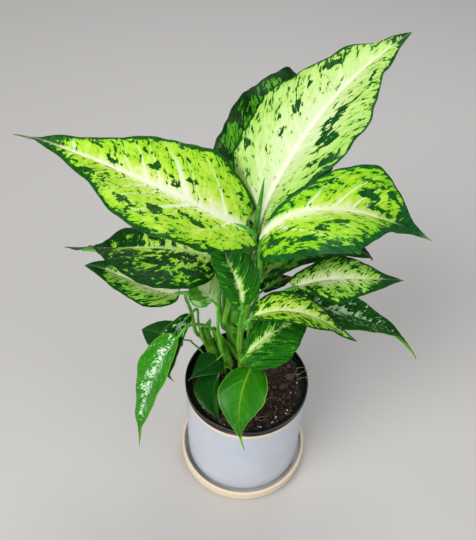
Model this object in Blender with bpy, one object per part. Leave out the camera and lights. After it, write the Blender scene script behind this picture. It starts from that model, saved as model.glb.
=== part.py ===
# Potted dieffenbachia: ceramic pot on its saucer, black nursery pot, soil, canes and leaves.
# The origin is the centre of the saucer's flat underside; +Z is up and -Y is the front.
import math

import bpy
import numpy as np

# driving dimensions, millimetres and degrees
MM = 0.001
GAP = 0.3                 # clearance left between pieces that touch
SEGMENTS = 40             # steps round each turned pot
POT_RADIUS = 64.0         # glazed pot, outside of its straight wall
POT_RIM = 131.0           # height of its rim
POT_WALL = 5.0
POT_FLOOR = 6.0
POT_FOOT = 55.0           # radius of the ring it stands on
DRAIN_RADIUS = 7.0
SAUCER_RADIUS = 71.5
SAUCER_HEIGHT = 17.5
SAUCER_FLOOR = 5.0
SAUCER_WALL = 4.5
LIP_RADIUS = 65.0         # nursery pot, the 13 cm size
LIP_TOP = 140.0
LIP_UNDER = POT_RIM + GAP # its lip hangs on the glazed pot's rim
LIP_WALL = 3.2
PLASTIC = 1.4             # wall of the nursery pot
LINER_TOP_RADIUS = 57.5
LINER_BASE_RADIUS = 44.0
LINER_BASE = 14.0         # underside of the nursery pot
SOIL_TOP = 126.0
POT_TURN = POT_RADIUS - POT_FOOT
SAUCER_TURN = 7.0         # rounding between the saucer's foot and its wall
COVE = 8.0                # rounding inside the glazed pot

RING = 8                  # points round a leaf or its stalk
STALK_ROWS = 8
STALK_LEAD = 0.06         # share of the blade's length over which a stalk lines up with it
LEAST_LEAD = 9.0          # and the least length of that
BLADE_HALF = 0.5          # half the thickness of a blade away from its midrib
STEM_FADE = 0.1           # share of the blade over which the round stalk flattens out
LOBE_START = 0.06         # share of the blade over which the base lobes grow
LOBE_REACH = 0.12         # share of the blade over which they fade out again
BELL_WIDTH = 0.75         # of the fullness weights, in steps between values
BLADE_ROWS = (0, 0.02, 0.06, 0.12, 0.2, 0.3, 0.4, 0.5, 0.6, 0.7, 0.8, 0.88, 0.95)

GREEN = (0.06, 0.32, 0.03, 1)
DARK_GREEN = (0.01, 0.12, 0.03, 1)
LIME = (0.42, 0.75, 0.08, 1)
STALK_GREEN = (0.25, 0.5, 0.1, 1)

# Canes: points up the middle, radius at the foot and at the top.
CANES = {
    "cane_main": dict(points=((-10, 46, 126), (-15, 46, 150), (-17, 44, 178), (-15, 40, 206)),
                      radius=(8.0, 6.0)),
    "cane_left": dict(points=((-34, 33, 126), (-41, 34, 150), (-48, 34, 180)), radius=(5.4, 4.2)),
    "cane_middle": dict(points=((-19, 25, 126), (-24, 25, 148), (-30, 24, 172)), radius=(4.6, 3.6)),
    "cane_right": dict(points=((-4, 22, 126), (-5, 21, 150), (-7, 19, 182)), radius=(5.2, 4.0)),
}

# The newest leaf, still rolled up in a spear.
SPEAR = dict(points=((-18, 38, 207), (-10, 33, 250), (-3, 26, 300), (0, 18, 345), (4, 15, 399)),
             radius=(1.6, 1.8, 2.0, 2.4, 0.4))

# Leaves. A blade starts at its base and runs along its midrib; heading and rise are the
# midrib's compass angle from +X and its angle above level, at the base, the middle and the tip.
# Roll turns the blade about its midrib and fold lifts its left and right halves. The outline is
# a round-based, pointed profile, widest at "belly", times the fullness of its left and right
# halves at the base, the middle and the tip. The stalk's points run from where it leaves its
# cane or the soil up to the blade.
LEAVES = {}


def leaf(name, **values):
    LEAVES[name] = values


leaf("leaf_top_right", base=(5, 25, 330), length=225, width=54, rise=(95, 30, 35),
     heading=(25, 50, 15), roll=(-5, 0), fold=(15, 15), lobe=4, belly=0.45, tip=0.9,
     left=(1, 0.9, 0.8), right=(0.4, 1.1, 0.8),
     stalk=((-11, 43, 207), (-6, 38, 250), (3, 31, 300)), stalk_radius=(3.0, 2.4), colour=LIME)
leaf("leaf_top_back", base=(0, 36, 324), length=168, width=52, rise=(50, 30, -15),
     heading=(75, 70, 85), roll=(0, 15), fold=(20, 10), lobe=4, belly=0.45, tip=0.6,
     left=(1.2, 1, 1), right=(1, 1, 1),
     stalk=((-16, 53, 185), (-12, 50, 230), (-4, 43, 290)), stalk_radius=(3.0, 2.4), colour=GREEN)
leaf("leaf_top_left", base=(-10, 7, 350), length=205, width=60, rise=(40, 20, 5),
     heading=(195, 170, 170), roll=(-10, -5), fold=(15, 25), lobe=18, belly=0.45, tip=1.2,
     left=(1, 1, 0.4), right=(1, 0.6, 0.5),
     stalk=((-25, 36, 190), (-20, 33, 230), (-10, 20, 295), (-2, 10, 335)),
     stalk_radius=(3.2, 2.6), colour=LIME)
leaf("leaf_upper_right", base=(6, 4, 340), length=165, width=60, rise=(80, -10, -15),
     heading=(-5, 5, -15), roll=(20, 0), fold=(60, 20), lobe=8, belly=0.45, tip=2,
     left=(0.1, 0.7, 1.3), right=(1, 1, 0.7),
     stalk=((-7, 36, 188), (-3, 29, 225), (5, 13, 290)), stalk_radius=(3.2, 2.6), colour=LIME)
leaf("leaf_left_second", base=(-30, 21, 293), length=160, width=46, rise=(25, -20, 15),
     heading=(170, 165, 185), roll=(-30, 40), fold=(20, 20), lobe=2, belly=0.4, tip=0.9,
     left=(1.2, 1.4, 1.2), right=(1, 0.9, 1),
     stalk=((-27, 44, 172), (-32, 42, 215), (-26, 34, 262)), stalk_radius=(2.8, 2.2), colour=GREEN)
leaf("leaf_left_third", base=(-68, 12, 258), length=95, width=30, rise=(-5, 15, -5),
     heading=(180, 165, 175), roll=(0, -5), fold=(10, 10), lobe=2, belly=0.35, tip=1.1,
     left=(1, 0.7, 1.1), right=(1, 0.9, 1),
     stalk=((-55, 34, 170), (-60, 34, 205), (-64, 24, 240)), stalk_radius=(2.4, 1.7), colour=LIME)
leaf("leaf_centre", base=(-9, -12, 273), length=70, width=26, rise=(75, 55, 50),
     heading=(115, 135, 115), roll=(-5, -5), fold=(10, 15), lobe=2, belly=0.35, tip=0.6,
     left=(0.6, 0.7, 1), right=(0.8, 0.8, 1),
     stalk=((-9, 12, 172), (-10, 4, 215), (-9, -5, 250)), stalk_radius=(2.2, 1.6), colour=GREEN)
leaf("leaf_inner_left", base=(-36, 3, 259), length=80, width=25, rise=(-20, -10, 10),
     heading=(115, 115, 125), roll=(-20, -10), fold=(-5, 10), lobe=4, belly=0.3, tip=1.5,
     left=(0.8, 0.6, 0.5), right=(0.7, 0.7, 0.8),
     stalk=((-26.6, 18.8, 155), (-30, 8, 195), (-31, -7, 235), (-31, -9, 252)),
     stalk_radius=(1.8, 1.3), colour=GREEN)
leaf("leaf_right_behind", base=(10, 31, 263), length=125, width=34, rise=(30, 15, -65),
     heading=(45, 0, 25), roll=(-10, 0), fold=(15, 20), lobe=0, belly=0.4, tip=1.1,
     left=(1, 1, 1), right=(1, 1, 1.1),
     stalk=((-8, 48, 188), (-2, 44, 215), (5, 36, 248)), stalk_radius=(2.4, 1.8), colour=DARK_GREEN)
leaf("leaf_right_middle", base=(38, 12, 272), length=105, width=34, rise=(30, 15, -20),
     heading=(5, -10, 20), roll=(10, 5), fold=(15, 5), lobe=8, belly=0.4, tip=1.6,
     left=(0.6, 0.7, 0.8), right=(0.4, 1, 0.9),
     stalk=((1, 20, 168), (4, 22, 205), (16, 16, 248)), stalk_radius=(2.4, 1.7), colour=LIME)
leaf("leaf_right_front", base=(0, -24, 269), length=115, width=30, rise=(50, -30, -25),
     heading=(0, 5, -15), roll=(-5, 0), fold=(10, 15), lobe=2, belly=0.4, tip=0.8,
     left=(0.8, 0.7, 0.3), right=(0.6, 0.8, 0.4),
     stalk=((0, 15, 158), (-1, 16, 200), (0, 3, 232)), stalk_radius=(2.2, 1.7), colour=LIME)
leaf("leaf_right_low", base=(44, 28, 243), length=165, width=34, rise=(-15, -30, -60),
     heading=(-20, 5, -20), roll=(0, -10), fold=(15, 20), lobe=4, belly=0.35, tip=1.6,
     left=(0.9, 0.8, 1), right=(1.1, 0.9, 0.8),
     stalk=((-1.2, 26.7, 154), (7, 30, 195), (27, 30, 233)), stalk_radius=(2.2, 1.6), colour=DARK_GREEN)
leaf("leaf_lower_right", base=(-3, -16, 201), length=80, width=30, rise=(55, 20, -35),
     heading=(25, 25, 30), roll=(-20, 10), fold=(0, 0), lobe=4, belly=0.4, tip=1.2,
     left=(0.8, 0.9, 1.1), right=(1.3, 1.3, 1.2),
     stalk=((-4, 14.5, 136), (-4, 0, 160)), stalk_radius=(2.0, 1.5), colour=GREEN)
leaf("leaf_front_heart", base=(3, -21, 188), length=85, width=26, rise=(5, -40, -45),
     heading=(-110, -95, -50), roll=(10, 5), fold=(20, 5), lobe=1, belly=0.4, tip=2,
     left=(1.2, 1, 0.8), right=(0.9, 0.9, 0.9),
     stalk=((4, 8, 126), (5, 2, 150), (5, -8, 178)), stalk_radius=(1.5, 1.3), colour=GREEN)
leaf("leaf_seedling_left", base=(-31, 4, 166), length=40, width=16, rise=(-5, 5, -30),
     heading=(-135, -135, -145), roll=(-5, 5), fold=(15, 15), lobe=3, belly=0.3, tip=1.6,
     left=(1.1, 1, 0.9), right=(0.9, 0.9, 0.8),
     stalk=((-23, 13, 126), (-24, 10, 150)), stalk_radius=(1.1, 0.9), colour=DARK_GREEN)
leaf("leaf_seedling_front", base=(-30, -8, 152), length=48, width=19, rise=(-25, -20, -45),
     heading=(-115, -85, -40), roll=(10, 0), fold=(20, 10), lobe=2, belly=0.35, tip=1.5,
     left=(0.2, 0.4, 0.6), right=(1.1, 1, 0.9),
     stalk=((-14, 14, 126), (-19, 8, 146)), stalk_radius=(1.1, 0.9), colour=DARK_GREEN)
leaf("leaf_left_hanging", base=(-70, -6, 213), length=160, width=24, rise=(-45, -70, -85),
     heading=(-145, -135, -135), roll=(5, 0), fold=(15, 10), lobe=1, belly=0.3, tip=1.6,
     left=(0.8, 0.9, 0.9), right=(1, 0.9, 0.9),
     stalk=((-11, 34, 126), (-20, 34, 148), (-31, 33, 167), (-43, 23, 196), (-57, 8, 216)),
     stalk_radius=(2.6, 1.4), colour=GREEN)
leaf("leaf_left_behind", base=(-60, 24, 212), length=110, width=18, rise=(-15, -80, -110),
     heading=(-140, -135, -140), roll=(0, 0), fold=(10, 10), lobe=1, belly=0.4, tip=1.3,
     left=(1, 1, 0.9), right=(0.6, 0.8, 1),
     stalk=((-46, 27, 162), (-52, 28, 192)), stalk_radius=(1.7, 1.3), colour=DARK_GREEN)
leaf("leaf_left_plain", base=(-69, 28, 165), length=50, width=20, rise=(10, -10, -15),
     heading=(180, 155, 165), roll=(0, -5), fold=(5, 10), lobe=3, belly=0.4, tip=0.9,
     left=(1.1, 1.1, 1.1), right=(0.9, 0.9, 1),
     stalk=((-44, 28, 126), (-49, 28, 145), (-60, 29, 160)), stalk_radius=(1.2, 1.0),
     colour=DARK_GREEN)
leaf("leaf_inner_right", base=(11, 30, 246), length=42, width=15, rise=(10, -10, -30),
     heading=(40, 40, 30), roll=(-5, -5), fold=(10, 15), lobe=3, belly=0.4, tip=1.4,
     left=(0.9, 0.9, 0.9), right=(0.8, 0.8, 0.8),
     stalk=((-7, 43, 162), (0, 41, 200), (7, 36, 230)), stalk_radius=(1.8, 1.3), colour=DARK_GREEN)
leaf("leaf_back_left", base=(-24, 62, 262), length=125, width=32, rise=(35, 5, -30),
     heading=(125, 128, 135), roll=(0, 4), fold=(14, 12), lobe=3, belly=0.4, tip=1.3,
     left=(1.0, 0.95, 0.9), right=(0.9, 1.0, 1.0),
     stalk=((-24, 52, 160), (-27, 56, 205), (-25, 59, 240)), stalk_radius=(2.4, 1.8), colour=GREEN)
leaf("leaf_back_right", base=(8, 66, 262), length=130, width=33, rise=(35, 5, -35),
     heading=(60, 55, 50), roll=(0, -4), fold=(12, 14), lobe=3, belly=0.4, tip=1.3,
     left=(0.9, 1.0, 1.0), right=(1.0, 0.95, 0.9),
     stalk=((-11, 54, 160), (-3, 60, 205), (4, 63, 240)), stalk_radius=(2.4, 1.8), colour=GREEN)


def unit(vectors):
    return vectors / np.linalg.norm(vectors, axis=-1, keepdims=True)


def through(values, t):
    """Parabola through three values at t = 0, 1/2 and 1."""
    a, b, c = values
    return a * (1 - t) * (1 - 2 * t) + 4 * b * t * (1 - t) + c * t * (2 * t - 1)


def outline(t, belly, tip):
    """Half-width of a blade as a share of its greatest: a quarter ellipse to the belly, then
    (1 - u^1.5)^tip out to the point."""
    rising = np.sqrt(np.clip(1 - (1 - t / belly) ** 2, 0, 1))
    u = np.clip((t - belly) / (1 - belly), 0, 1)
    return np.where(t < belly, rising, (1 - u ** 1.5) ** tip)


def fullness(values, t):
    """Smooth run through evenly spaced values, each weighted by a bell curve in t."""
    values = np.array(values, float)
    count = len(values)
    middles = (np.arange(count) + 0.5) / count
    weights = np.exp(-(((t[:, None] - middles) * count / BELL_WIDTH) ** 2))
    return (weights * values).sum(1) / weights.sum(1)


def midrib(v, t):
    """Points and frame of a midrib: the running total of its direction."""
    heading = np.radians(through(v["heading"], t))
    rise = np.radians(through(v["rise"], t))
    level = np.cos(rise)
    along = np.stack([level * np.cos(heading), level * np.sin(heading), np.sin(rise)], 1)
    steps = np.diff(t)[:, None] * (along[1:] + along[:-1]) / 2
    points = np.array(v["base"]) + v["length"] * np.vstack([np.zeros(3), np.cumsum(steps, 0)])
    side = np.stack([-np.sin(heading), np.cos(heading), np.zeros_like(t)], 1)
    up = np.cross(along, side)
    roll = np.radians(v["roll"][0] + (v["roll"][1] - v["roll"][0]) * t)[:, None]
    rolled = side * np.cos(roll) + up * np.sin(roll)
    return points, along, rolled, np.cross(along, rolled)


def spline(points, count):
    """Catmull-Rom curve through the points, sampled evenly in each of its spans."""
    p = np.array(points, float)
    p = np.vstack([2 * p[0] - p[1], p, 2 * p[-1] - p[-2]])
    t = np.linspace(0, len(p) - 3 - 1e-9, count)
    i = t.astype(int)
    u = (t - i)[:, None]
    a, b, c, d = p[i], p[i + 1], p[i + 2], p[i + 3]
    return 0.5 * (2 * b + (c - a) * u + (2 * a - 5 * b + 4 * c - d) * u ** 2
                  + (3 * b - a - 3 * c + d) * u ** 3)


def flatten_foot(ring):
    """A ring that stands on the soil is made level, so that its cap lies flat on it."""
    if ring[:, 2].mean() < SOIL_TOP + 1:
        ring[:, 2] = SOIL_TOP


def stalk_rings(v, points, along, side):
    """Rings of the stalk, from its foot up to the blade, turned to meet the blade's frame."""
    lead = points[0] - along[0] * max(v["length"] * STALK_LEAD, LEAST_LEAD)
    path = spline(list(v["stalk"]) + [lead, points[0]], STALK_ROWS + 1)
    tangent = unit(np.gradient(path, axis=0))
    radius = np.linspace(v["stalk_radius"][0], v["stalk_radius"][1], STALK_ROWS + 1)
    angle = 2 * np.pi * np.arange(RING) / RING
    across = side[0]
    rings = []
    for row in range(STALK_ROWS - 1, -1, -1):
        across = unit(across - tangent[row] * (across @ tangent[row]))
        up = np.cross(tangent[row], across)
        circle = np.cos(angle)[:, None] * across + np.sin(angle)[:, None] * up
        rings.append(path[row] + radius[row] * circle)
    rings.reverse()
    flatten_foot(rings[0])
    return rings


def blade_rings(v, t, points, along, side, up):
    """Rings of the blade: a lens across, folded up along the midrib, its base lobes swept back."""
    fade = np.clip(1 - t / STEM_FADE, 0, 1)
    stem = v["stalk_radius"][1]
    shape = v["width"] * outline(t, v["belly"], v["tip"])
    angle = 2 * np.pi * np.arange(RING) / RING
    rings = np.zeros((len(t), RING, 3))
    middle = BLADE_HALF + (stem - BLADE_HALF) * (1 - t) ** 3
    for k, s in enumerate(np.cos(angle)):
        left_half = s > 0
        on_midrib = k in (RING // 4, 3 * RING // 4)
        fold = math.radians(v["fold"][0 if left_half else 1])
        full = fullness(v["left"] if left_half else v["right"], t)
        outward = abs(s) * np.sqrt((shape * full) ** 2 + (stem * fade) ** 2)
        across = math.copysign(1, s) * outward * math.cos(fold)
        thick = middle if on_midrib else BLADE_HALF + (stem - BLADE_HALF) * fade ** 2
        lift = outward * math.sin(fold) + thick * math.sin(angle[k])
        sweep = np.exp(-t / LOBE_REACH) * np.minimum(1, t / LOBE_START)
        back = -v["lobe"] * abs(s) * sweep
        rings[:, k] = points + side * across[:, None] + up * lift[:, None] + along * back[:, None]
    return list(rings)


def lofted(rings, tip=None):
    """Vertices and faces of a closed skin over rings of points, ended by a cap or a tip point.

    The second half of each ring is split along the other diagonal, so that the two faces of a
    thin twisted blade bend along the same lines and never meet."""
    count = len(rings[0])
    verts = np.vstack(rings)
    faces = []
    for row in range(len(rings) - 1):
        for k in range(count):
            a = row * count + k
            b = row * count + (k + 1) % count
            c = b + count
            d = a + count
            faces += [(a, b, c), (a, c, d)] if k < count // 2 else [(a, b, d), (b, c, d)]
    faces.append(tuple(range(count - 1, -1, -1)))
    last = (len(rings) - 1) * count
    if tip is None:
        faces.append(tuple(range(last, last + count)))
    else:
        verts = np.vstack([verts, tip])
        for k in range(count):
            faces.append((last + k, last + (k + 1) % count, len(verts) - 1))
    return verts, faces


def material(name, colour, roughness, metallic=0.0):
    made = bpy.data.materials.new(name)
    made.use_nodes = True
    shader = made.node_tree.nodes["Principled BSDF"]
    shader.inputs["Base Color"].default_value = colour
    shader.inputs["Roughness"].default_value = roughness
    shader.inputs["Metallic"].default_value = metallic
    return made


def add_piece(name, verts, faces, finish):
    mesh = bpy.data.meshes.new(name)
    mesh.from_pydata((np.asarray(verts) * MM).tolist(), [], faces)
    mesh.materials.append(finish)
    mesh.shade_smooth()
    mesh.set_sharp_from_angle(angle=math.radians(40))
    piece = bpy.data.objects.new(name, mesh)
    bpy.context.collection.objects.link(piece)
    return piece


def add_leaf(name, v):
    t = np.array(BLADE_ROWS)
    points, along, side, up = midrib(v, np.append(t, 1.0))
    rings = stalk_rings(v, points, along, side)
    rings += blade_rings(v, t, points[:-1], along[:-1], side[:-1], up[:-1])
    verts, faces = lofted(rings, tip=points[-1])
    add_piece(name, verts, faces, material(name, v["colour"], 0.35))


def add_tube(name, points, radii, finish, sides=10, rows=9):
    """Round rod along a spline, its radius running evenly through the given ones."""
    path = spline(points, rows)
    tangent = unit(np.gradient(path, axis=0))
    across = unit(np.cross(tangent[0], (0.0, 1.0, 0.0)))
    angle = 2 * np.pi * np.arange(sides) / sides
    radius = np.interp(np.linspace(0, 1, rows), np.linspace(0, 1, len(radii)), radii)
    rings = []
    for row in range(rows):
        across = unit(across - tangent[row] * (across @ tangent[row]))
        up = np.cross(tangent[row], across)
        rings.append(path[row] + radius[row] * (np.cos(angle)[:, None] * across
                                                + np.sin(angle)[:, None] * up))
    flatten_foot(rings[0])
    add_piece(name, *lofted(rings), finish)


def add_turned(name, profile, finish):
    """Closed solid of revolution. The profile is a loop of (radius, height) points, counter-
    clockwise with the axis on the left; a radius of zero closes on the axis."""
    step = 2 * math.pi / SEGMENTS
    verts = []
    starts = []
    for radius, height in profile:
        starts.append((len(verts), radius > 0))
        turns = SEGMENTS if radius > 0 else 1
        for i in range(turns):
            verts.append((radius * math.cos(i * step), radius * math.sin(i * step), height))
    faces = []
    for (a, a_round), (b, b_round) in zip(starts, starts[1:] + starts[:1]):
        for i in range(SEGMENTS):
            j = (i + 1) % SEGMENTS
            corners = [a + i if a_round else a, a + j if a_round else a,
                       b + j if b_round else b, b + i if b_round else b]
            corners = list(dict.fromkeys(corners))
            if len(corners) > 2:
                faces.append(tuple(corners))
    add_piece(name, verts, faces, finish)


def arc(centre, radius, start, end, steps=4):
    """Points of a quarter-round in a turned profile, angles in degrees."""
    angles = np.radians(np.linspace(start, end, steps))
    return [(centre[0] + radius * math.cos(a), centre[1] + radius * math.sin(a)) for a in angles]


def liner_radius(height):
    """Outside radius of the tapered nursery pot at a height."""
    share = (height - LINER_BASE) / (LIP_UNDER - LINER_BASE)
    return LINER_BASE_RADIUS + (LINER_TOP_RADIUS - LINER_BASE_RADIUS) * share


def saucer_profile():
    edge = 2.2
    inner = SAUCER_RADIUS - SAUCER_WALL
    return ([(0, 0), (SAUCER_RADIUS - SAUCER_TURN, 0)]
            + arc((SAUCER_RADIUS - SAUCER_TURN, SAUCER_TURN), SAUCER_TURN, -60, 0)
            + arc((SAUCER_RADIUS - edge, SAUCER_HEIGHT - edge), edge, 0, 180, 6)
            + [(inner, SAUCER_FLOOR + 4), (inner - 4, SAUCER_FLOOR), (0, SAUCER_FLOOR)])


def cover_pot_profile():
    edge = POT_WALL / 2
    foot = SAUCER_FLOOR + GAP
    floor = foot + POT_FLOOR
    hollow = POT_RADIUS - POT_WALL
    return ([(DRAIN_RADIUS, foot), (POT_FOOT, foot)]
            + arc((POT_FOOT, foot + POT_TURN), POT_TURN, -60, 0)
            + arc((POT_RADIUS - edge, POT_RIM - edge), edge, 0, 180, 6)
            + [(hollow, floor + COVE), (hollow - COVE, floor), (DRAIN_RADIUS, floor)])


def grow_pot_profile():
    edge = LIP_WALL / 2
    bevel = 3.0
    floor = LINER_BASE + PLASTIC
    low = LINER_BASE_RADIUS - PLASTIC
    return ([(DRAIN_RADIUS, LINER_BASE), (LINER_BASE_RADIUS - bevel, LINER_BASE),
             (liner_radius(LINER_BASE + bevel), LINER_BASE + bevel),
             (LINER_TOP_RADIUS, LIP_UNDER), (LIP_RADIUS, LIP_UNDER)]
            + arc((LIP_RADIUS - edge, LIP_TOP - edge), edge, 0, 180, 6)
            + [(LIP_RADIUS - LIP_WALL, LIP_UNDER + 3.7),
               (LINER_TOP_RADIUS - 1, LIP_UNDER + PLASTIC),
               (LINER_TOP_RADIUS - PLASTIC, LIP_UNDER), (low, floor + 2), (low - 2, floor),
               (DRAIN_RADIUS, floor)])


def soil_profile():
    floor = LINER_BASE + PLASTIC + GAP
    clear = PLASTIC + GAP + 0.4
    shoulder = LINER_BASE + 6
    low = liner_radius(shoulder) - clear
    edge = liner_radius(SOIL_TOP) - clear
    top = SOIL_TOP - GAP
    return [(0, floor), (low - 3, floor), (low, shoulder), (edge, top - 1), (edge - 2, top), (0, top)]


def add_pots():
    clay = material("glazed_stoneware", (0.62, 0.65, 0.7, 1), 0.25)
    plastic = material("black_plastic", (0.008, 0.009, 0.012, 1), 0.35)
    earth = material("potting_soil", (0.03, 0.016, 0.01, 1), 0.95)
    add_turned("saucer", saucer_profile(), clay)
    add_turned("cover_pot", cover_pot_profile(), clay)
    add_turned("grow_pot", grow_pot_profile(), plastic)
    add_turned("soil", soil_profile(), earth)


def add_plant():
    for name, cane in CANES.items():
        add_tube(name, cane["points"], cane["radius"], material(name, STALK_GREEN, 0.45))
    add_tube("spear_leaf", SPEAR["points"], SPEAR["radius"], material("spear_leaf", GREEN, 0.4), 8)
    for name, values in LEAVES.items():
        add_leaf(name, values)


def main():
    for old in list(bpy.data.objects):
        bpy.data.objects.remove(old, do_unlink=True)
    add_pots()
    add_plant()


main()
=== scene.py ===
# Potted dieffenbachia: finished leaves, stalks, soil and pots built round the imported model.
import functools
import itertools
import math
import re

import bpy
import numpy as np
from mathutils import Matrix, Vector


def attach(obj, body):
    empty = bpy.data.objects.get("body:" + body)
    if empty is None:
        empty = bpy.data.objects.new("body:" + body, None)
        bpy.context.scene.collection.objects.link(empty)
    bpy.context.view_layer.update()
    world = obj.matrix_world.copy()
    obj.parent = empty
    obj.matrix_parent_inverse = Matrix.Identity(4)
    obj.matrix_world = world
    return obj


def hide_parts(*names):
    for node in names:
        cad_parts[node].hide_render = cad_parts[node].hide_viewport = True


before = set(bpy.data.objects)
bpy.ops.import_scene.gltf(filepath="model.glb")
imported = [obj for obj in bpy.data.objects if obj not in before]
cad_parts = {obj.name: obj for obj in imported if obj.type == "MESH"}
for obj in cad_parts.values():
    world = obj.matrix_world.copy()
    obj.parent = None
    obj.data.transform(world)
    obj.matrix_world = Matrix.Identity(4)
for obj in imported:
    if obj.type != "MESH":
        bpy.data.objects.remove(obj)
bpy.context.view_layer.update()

mm = 0.001
chance = np.random.default_rng(11)  # one seeded source, so each run scatters the same way


def linear(hexColour):
    # sRGB hex to linear light: c / 12.92 below 0.04045, ((c + 0.055) / 1.055) ^ 2.4 above
    parts = [int(hexColour[i:i + 2], 16) / 255 for i in (1, 3, 5)]
    return tuple(c / 12.92 if c <= 0.04045 else ((c + 0.055) / 1.055) ** 2.4 for c in parts) + (1.0,)


def feed(node, inputs):
    # gives each input a value, a hex colour, a socket, or another node's first output
    for socket, value in inputs.items():
        if isinstance(value, bpy.types.Node):
            value = value.outputs[0]
        if isinstance(value, bpy.types.NodeSocket):
            node.id_data.links.new(value, node.inputs[socket])
        else:
            node.inputs[socket].default_value = linear(value) if isinstance(value, str) else value


def addNode(tree, kind, inputs={}, stops=(), **settings):
    # one node with its settings and its links; stops fill a colour ramp with (place, hex) pairs
    node = tree.nodes.new("ShaderNode" + kind)
    for key, value in settings.items():
        setattr(node, key, value)
    while stops and len(node.color_ramp.elements) < len(stops):
        node.color_ramp.elements.new(0.5)
    for element, (place, colour) in zip(node.color_ramp.elements if stops else (), stops):
        element.position = place
        element.color = linear(colour)
    feed(node, inputs)
    return node


def newMaterial(name):
    # a new material, a call that adds nodes to it, and its principled shader
    made = bpy.data.materials.new(name)
    made.use_nodes = True
    made.node_tree.nodes.clear()
    add = functools.partial(addNode, made.node_tree)
    shader = add("BsdfPrincipled")
    add("OutputMaterial", {"Surface": shader})
    return made, add, shader


def smoothStep(low, high, x):
    # 0 below low, 1 above high, 3k^2 - 2k^3 between
    k = np.clip((x - low) / (high - low), 0, 1)
    return k * k * (3 - 2 * k)


def unit(vectors):
    # each vector over its own length
    return vectors / np.maximum(np.linalg.norm(vectors, axis=-1, keepdims=True), 1e-9)


def around(count):
    # evenly spaced angles round a full turn
    return 2 * np.pi * np.arange(count) / count


def makeObject(name, verts, faces, finish, node, smoothAngle=60, facts={}):
    # verts in millimetres; facts are named values on the points, which the materials read. The
    # piece rides on the root body
    mesh = bpy.data.meshes.new(name)
    mesh.from_pydata((verts * mm).tolist(), [], faces)
    mesh.materials.append(finish)
    mesh.shade_smooth()
    mesh.set_sharp_from_angle(angle=math.radians(smoothAngle))
    mesh.validate()
    for key, values in facts.items():
        single = values.ndim == 1
        layer = mesh.attributes.new(key, "FLOAT" if single else "FLOAT_VECTOR", "POINT")
        layer.data.foreach_set("value" if single else "vector", values.astype(np.float32).ravel())
    piece = bpy.data.objects.new(name, mesh)
    bpy.context.collection.objects.link(piece)
    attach(piece, "root")
    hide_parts(node)


def loft(rings, wrap=False):
    # rings: rows x points x 3. Quads join each ring to the next; the two ends close with a fan
    # to the ring's mean point, or, with wrap, the last ring joins the first
    rows, count = rings.shape[:2]
    at = np.arange(rows * count).reshape(rows, count)
    after = np.roll(at, -1, axis=1)
    last = rows if wrap else rows - 1
    nextAt, nextAfter = np.roll(at, -1, axis=0), np.roll(after, -1, axis=0)
    faces = np.stack([at, after, nextAfter, nextAt], -1)[:last].reshape(-1, 4).tolist()
    verts = rings.reshape(-1, 3)
    if not wrap:
        start, end = len(verts), len(verts) + 1
        verts = np.vstack([verts, rings[0].mean(0), rings[-1].mean(0)])
        faces += [(start, b, a) for a, b in zip(at[0].tolist(), after[0].tolist())]
        faces += [(end, a, b) for a, b in zip(at[-1].tolist(), after[-1].tolist())]
    # the sum of a . (b x c) over the triangles is six times the volume; below zero the faces turn
    volume = 0.0
    for corner in (1, 2):
        rows = np.array([(f[0], f[corner], f[corner + 1]) for f in faces if len(f) > corner + 1])
        a, b, c = verts[rows[:, 0]], verts[rows[:, 1]], verts[rows[:, 2]]
        volume += np.einsum("ij,ij->", a, np.cross(b, c))
    return verts, faces if volume > 0 else [tuple(reversed(f)) for f in faces]


def splinePath(points, count):
    # Catmull-Rom curve through the points, count samples spread evenly by length
    p = np.array(points, float)
    p = np.vstack([2 * p[0] - p[1], p, 2 * p[-1] - p[-2]])
    t = np.linspace(0, len(p) - 3 - 1e-9, 40 * len(p))
    i = t.astype(int)
    u = (t - i)[:, None]
    a, b, c, d = p[i], p[i + 1], p[i + 2], p[i + 3]
    path = 0.5 * (2 * b + (c - a) * u + (2 * a - 5 * b + 4 * c - d) * u ** 2
                  + (3 * b - a - 3 * c + d) * u ** 3)
    run = runAlong(path)
    even = np.linspace(0, run[-1], count)
    return np.stack([np.interp(even, run, path[:, k]) for k in range(3)], 1)


def runAlong(path):
    # distance along the path at each of its points
    return np.append(0, np.cumsum(np.linalg.norm(np.diff(path, axis=0), axis=1)))


def carriedFrames(path, across):
    # side and up vectors carried back along the path from its last point, where side is "across"
    tangent = unit(np.gradient(path, axis=0))
    sides = np.zeros_like(path)
    for row in range(len(path) - 1, -1, -1):
        across = unit(across - tangent[row] * (across @ tangent[row]))
        sides[row] = across
    return sides, np.cross(tangent, sides)


def sweep(path, sides, ups, out, lift):
    # each ring: path + side * out + up * lift
    return path[:, None] + sides[:, None] * out[..., None] + ups[:, None] * lift[..., None]


def roundTube(path, across, radius, q):
    # rings round the path: side * radius cos q + up * radius sin q, with the frames carried back
    return sweep(path, *carriedFrames(path, across), radius * np.cos(q), radius * np.sin(q))


def lumps(points, size, seed, octaves=3):
    # smooth noise of -1 to 1: sines along random directions, each octave at half the size and
    # half the strength
    dice = np.random.default_rng(seed)
    total = np.zeros(points.shape[:-1])
    strength = 1.0
    for _ in range(octaves):
        for _ in range(5):
            direction = unit(dice.normal(size=points.shape[-1]))
            total += strength * np.sin(points @ direction * (2 * math.pi / size)
                                       * dice.uniform(0.7, 1.3) + dice.uniform(0, 7)) / 5
        size /= 2
        strength /= 2
    return total


def makeStem(name, rings, place, finish, node, smoothAngle=60, facts={}):
    # lofts the rings of a stalk or cane. Its stalkPlace is (millimetres round, millimetres along,
    # share of the height from foot to top)
    verts, faces = loft(rings)
    place = np.stack(np.broadcast_arrays(*place), -1).reshape(-1, 3)
    facts = dict(facts, stalkPlace=np.vstack([place, place[0], place[-1]]))
    makeObject(name, verts, faces, finish, node, smoothAngle, facts)


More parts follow.
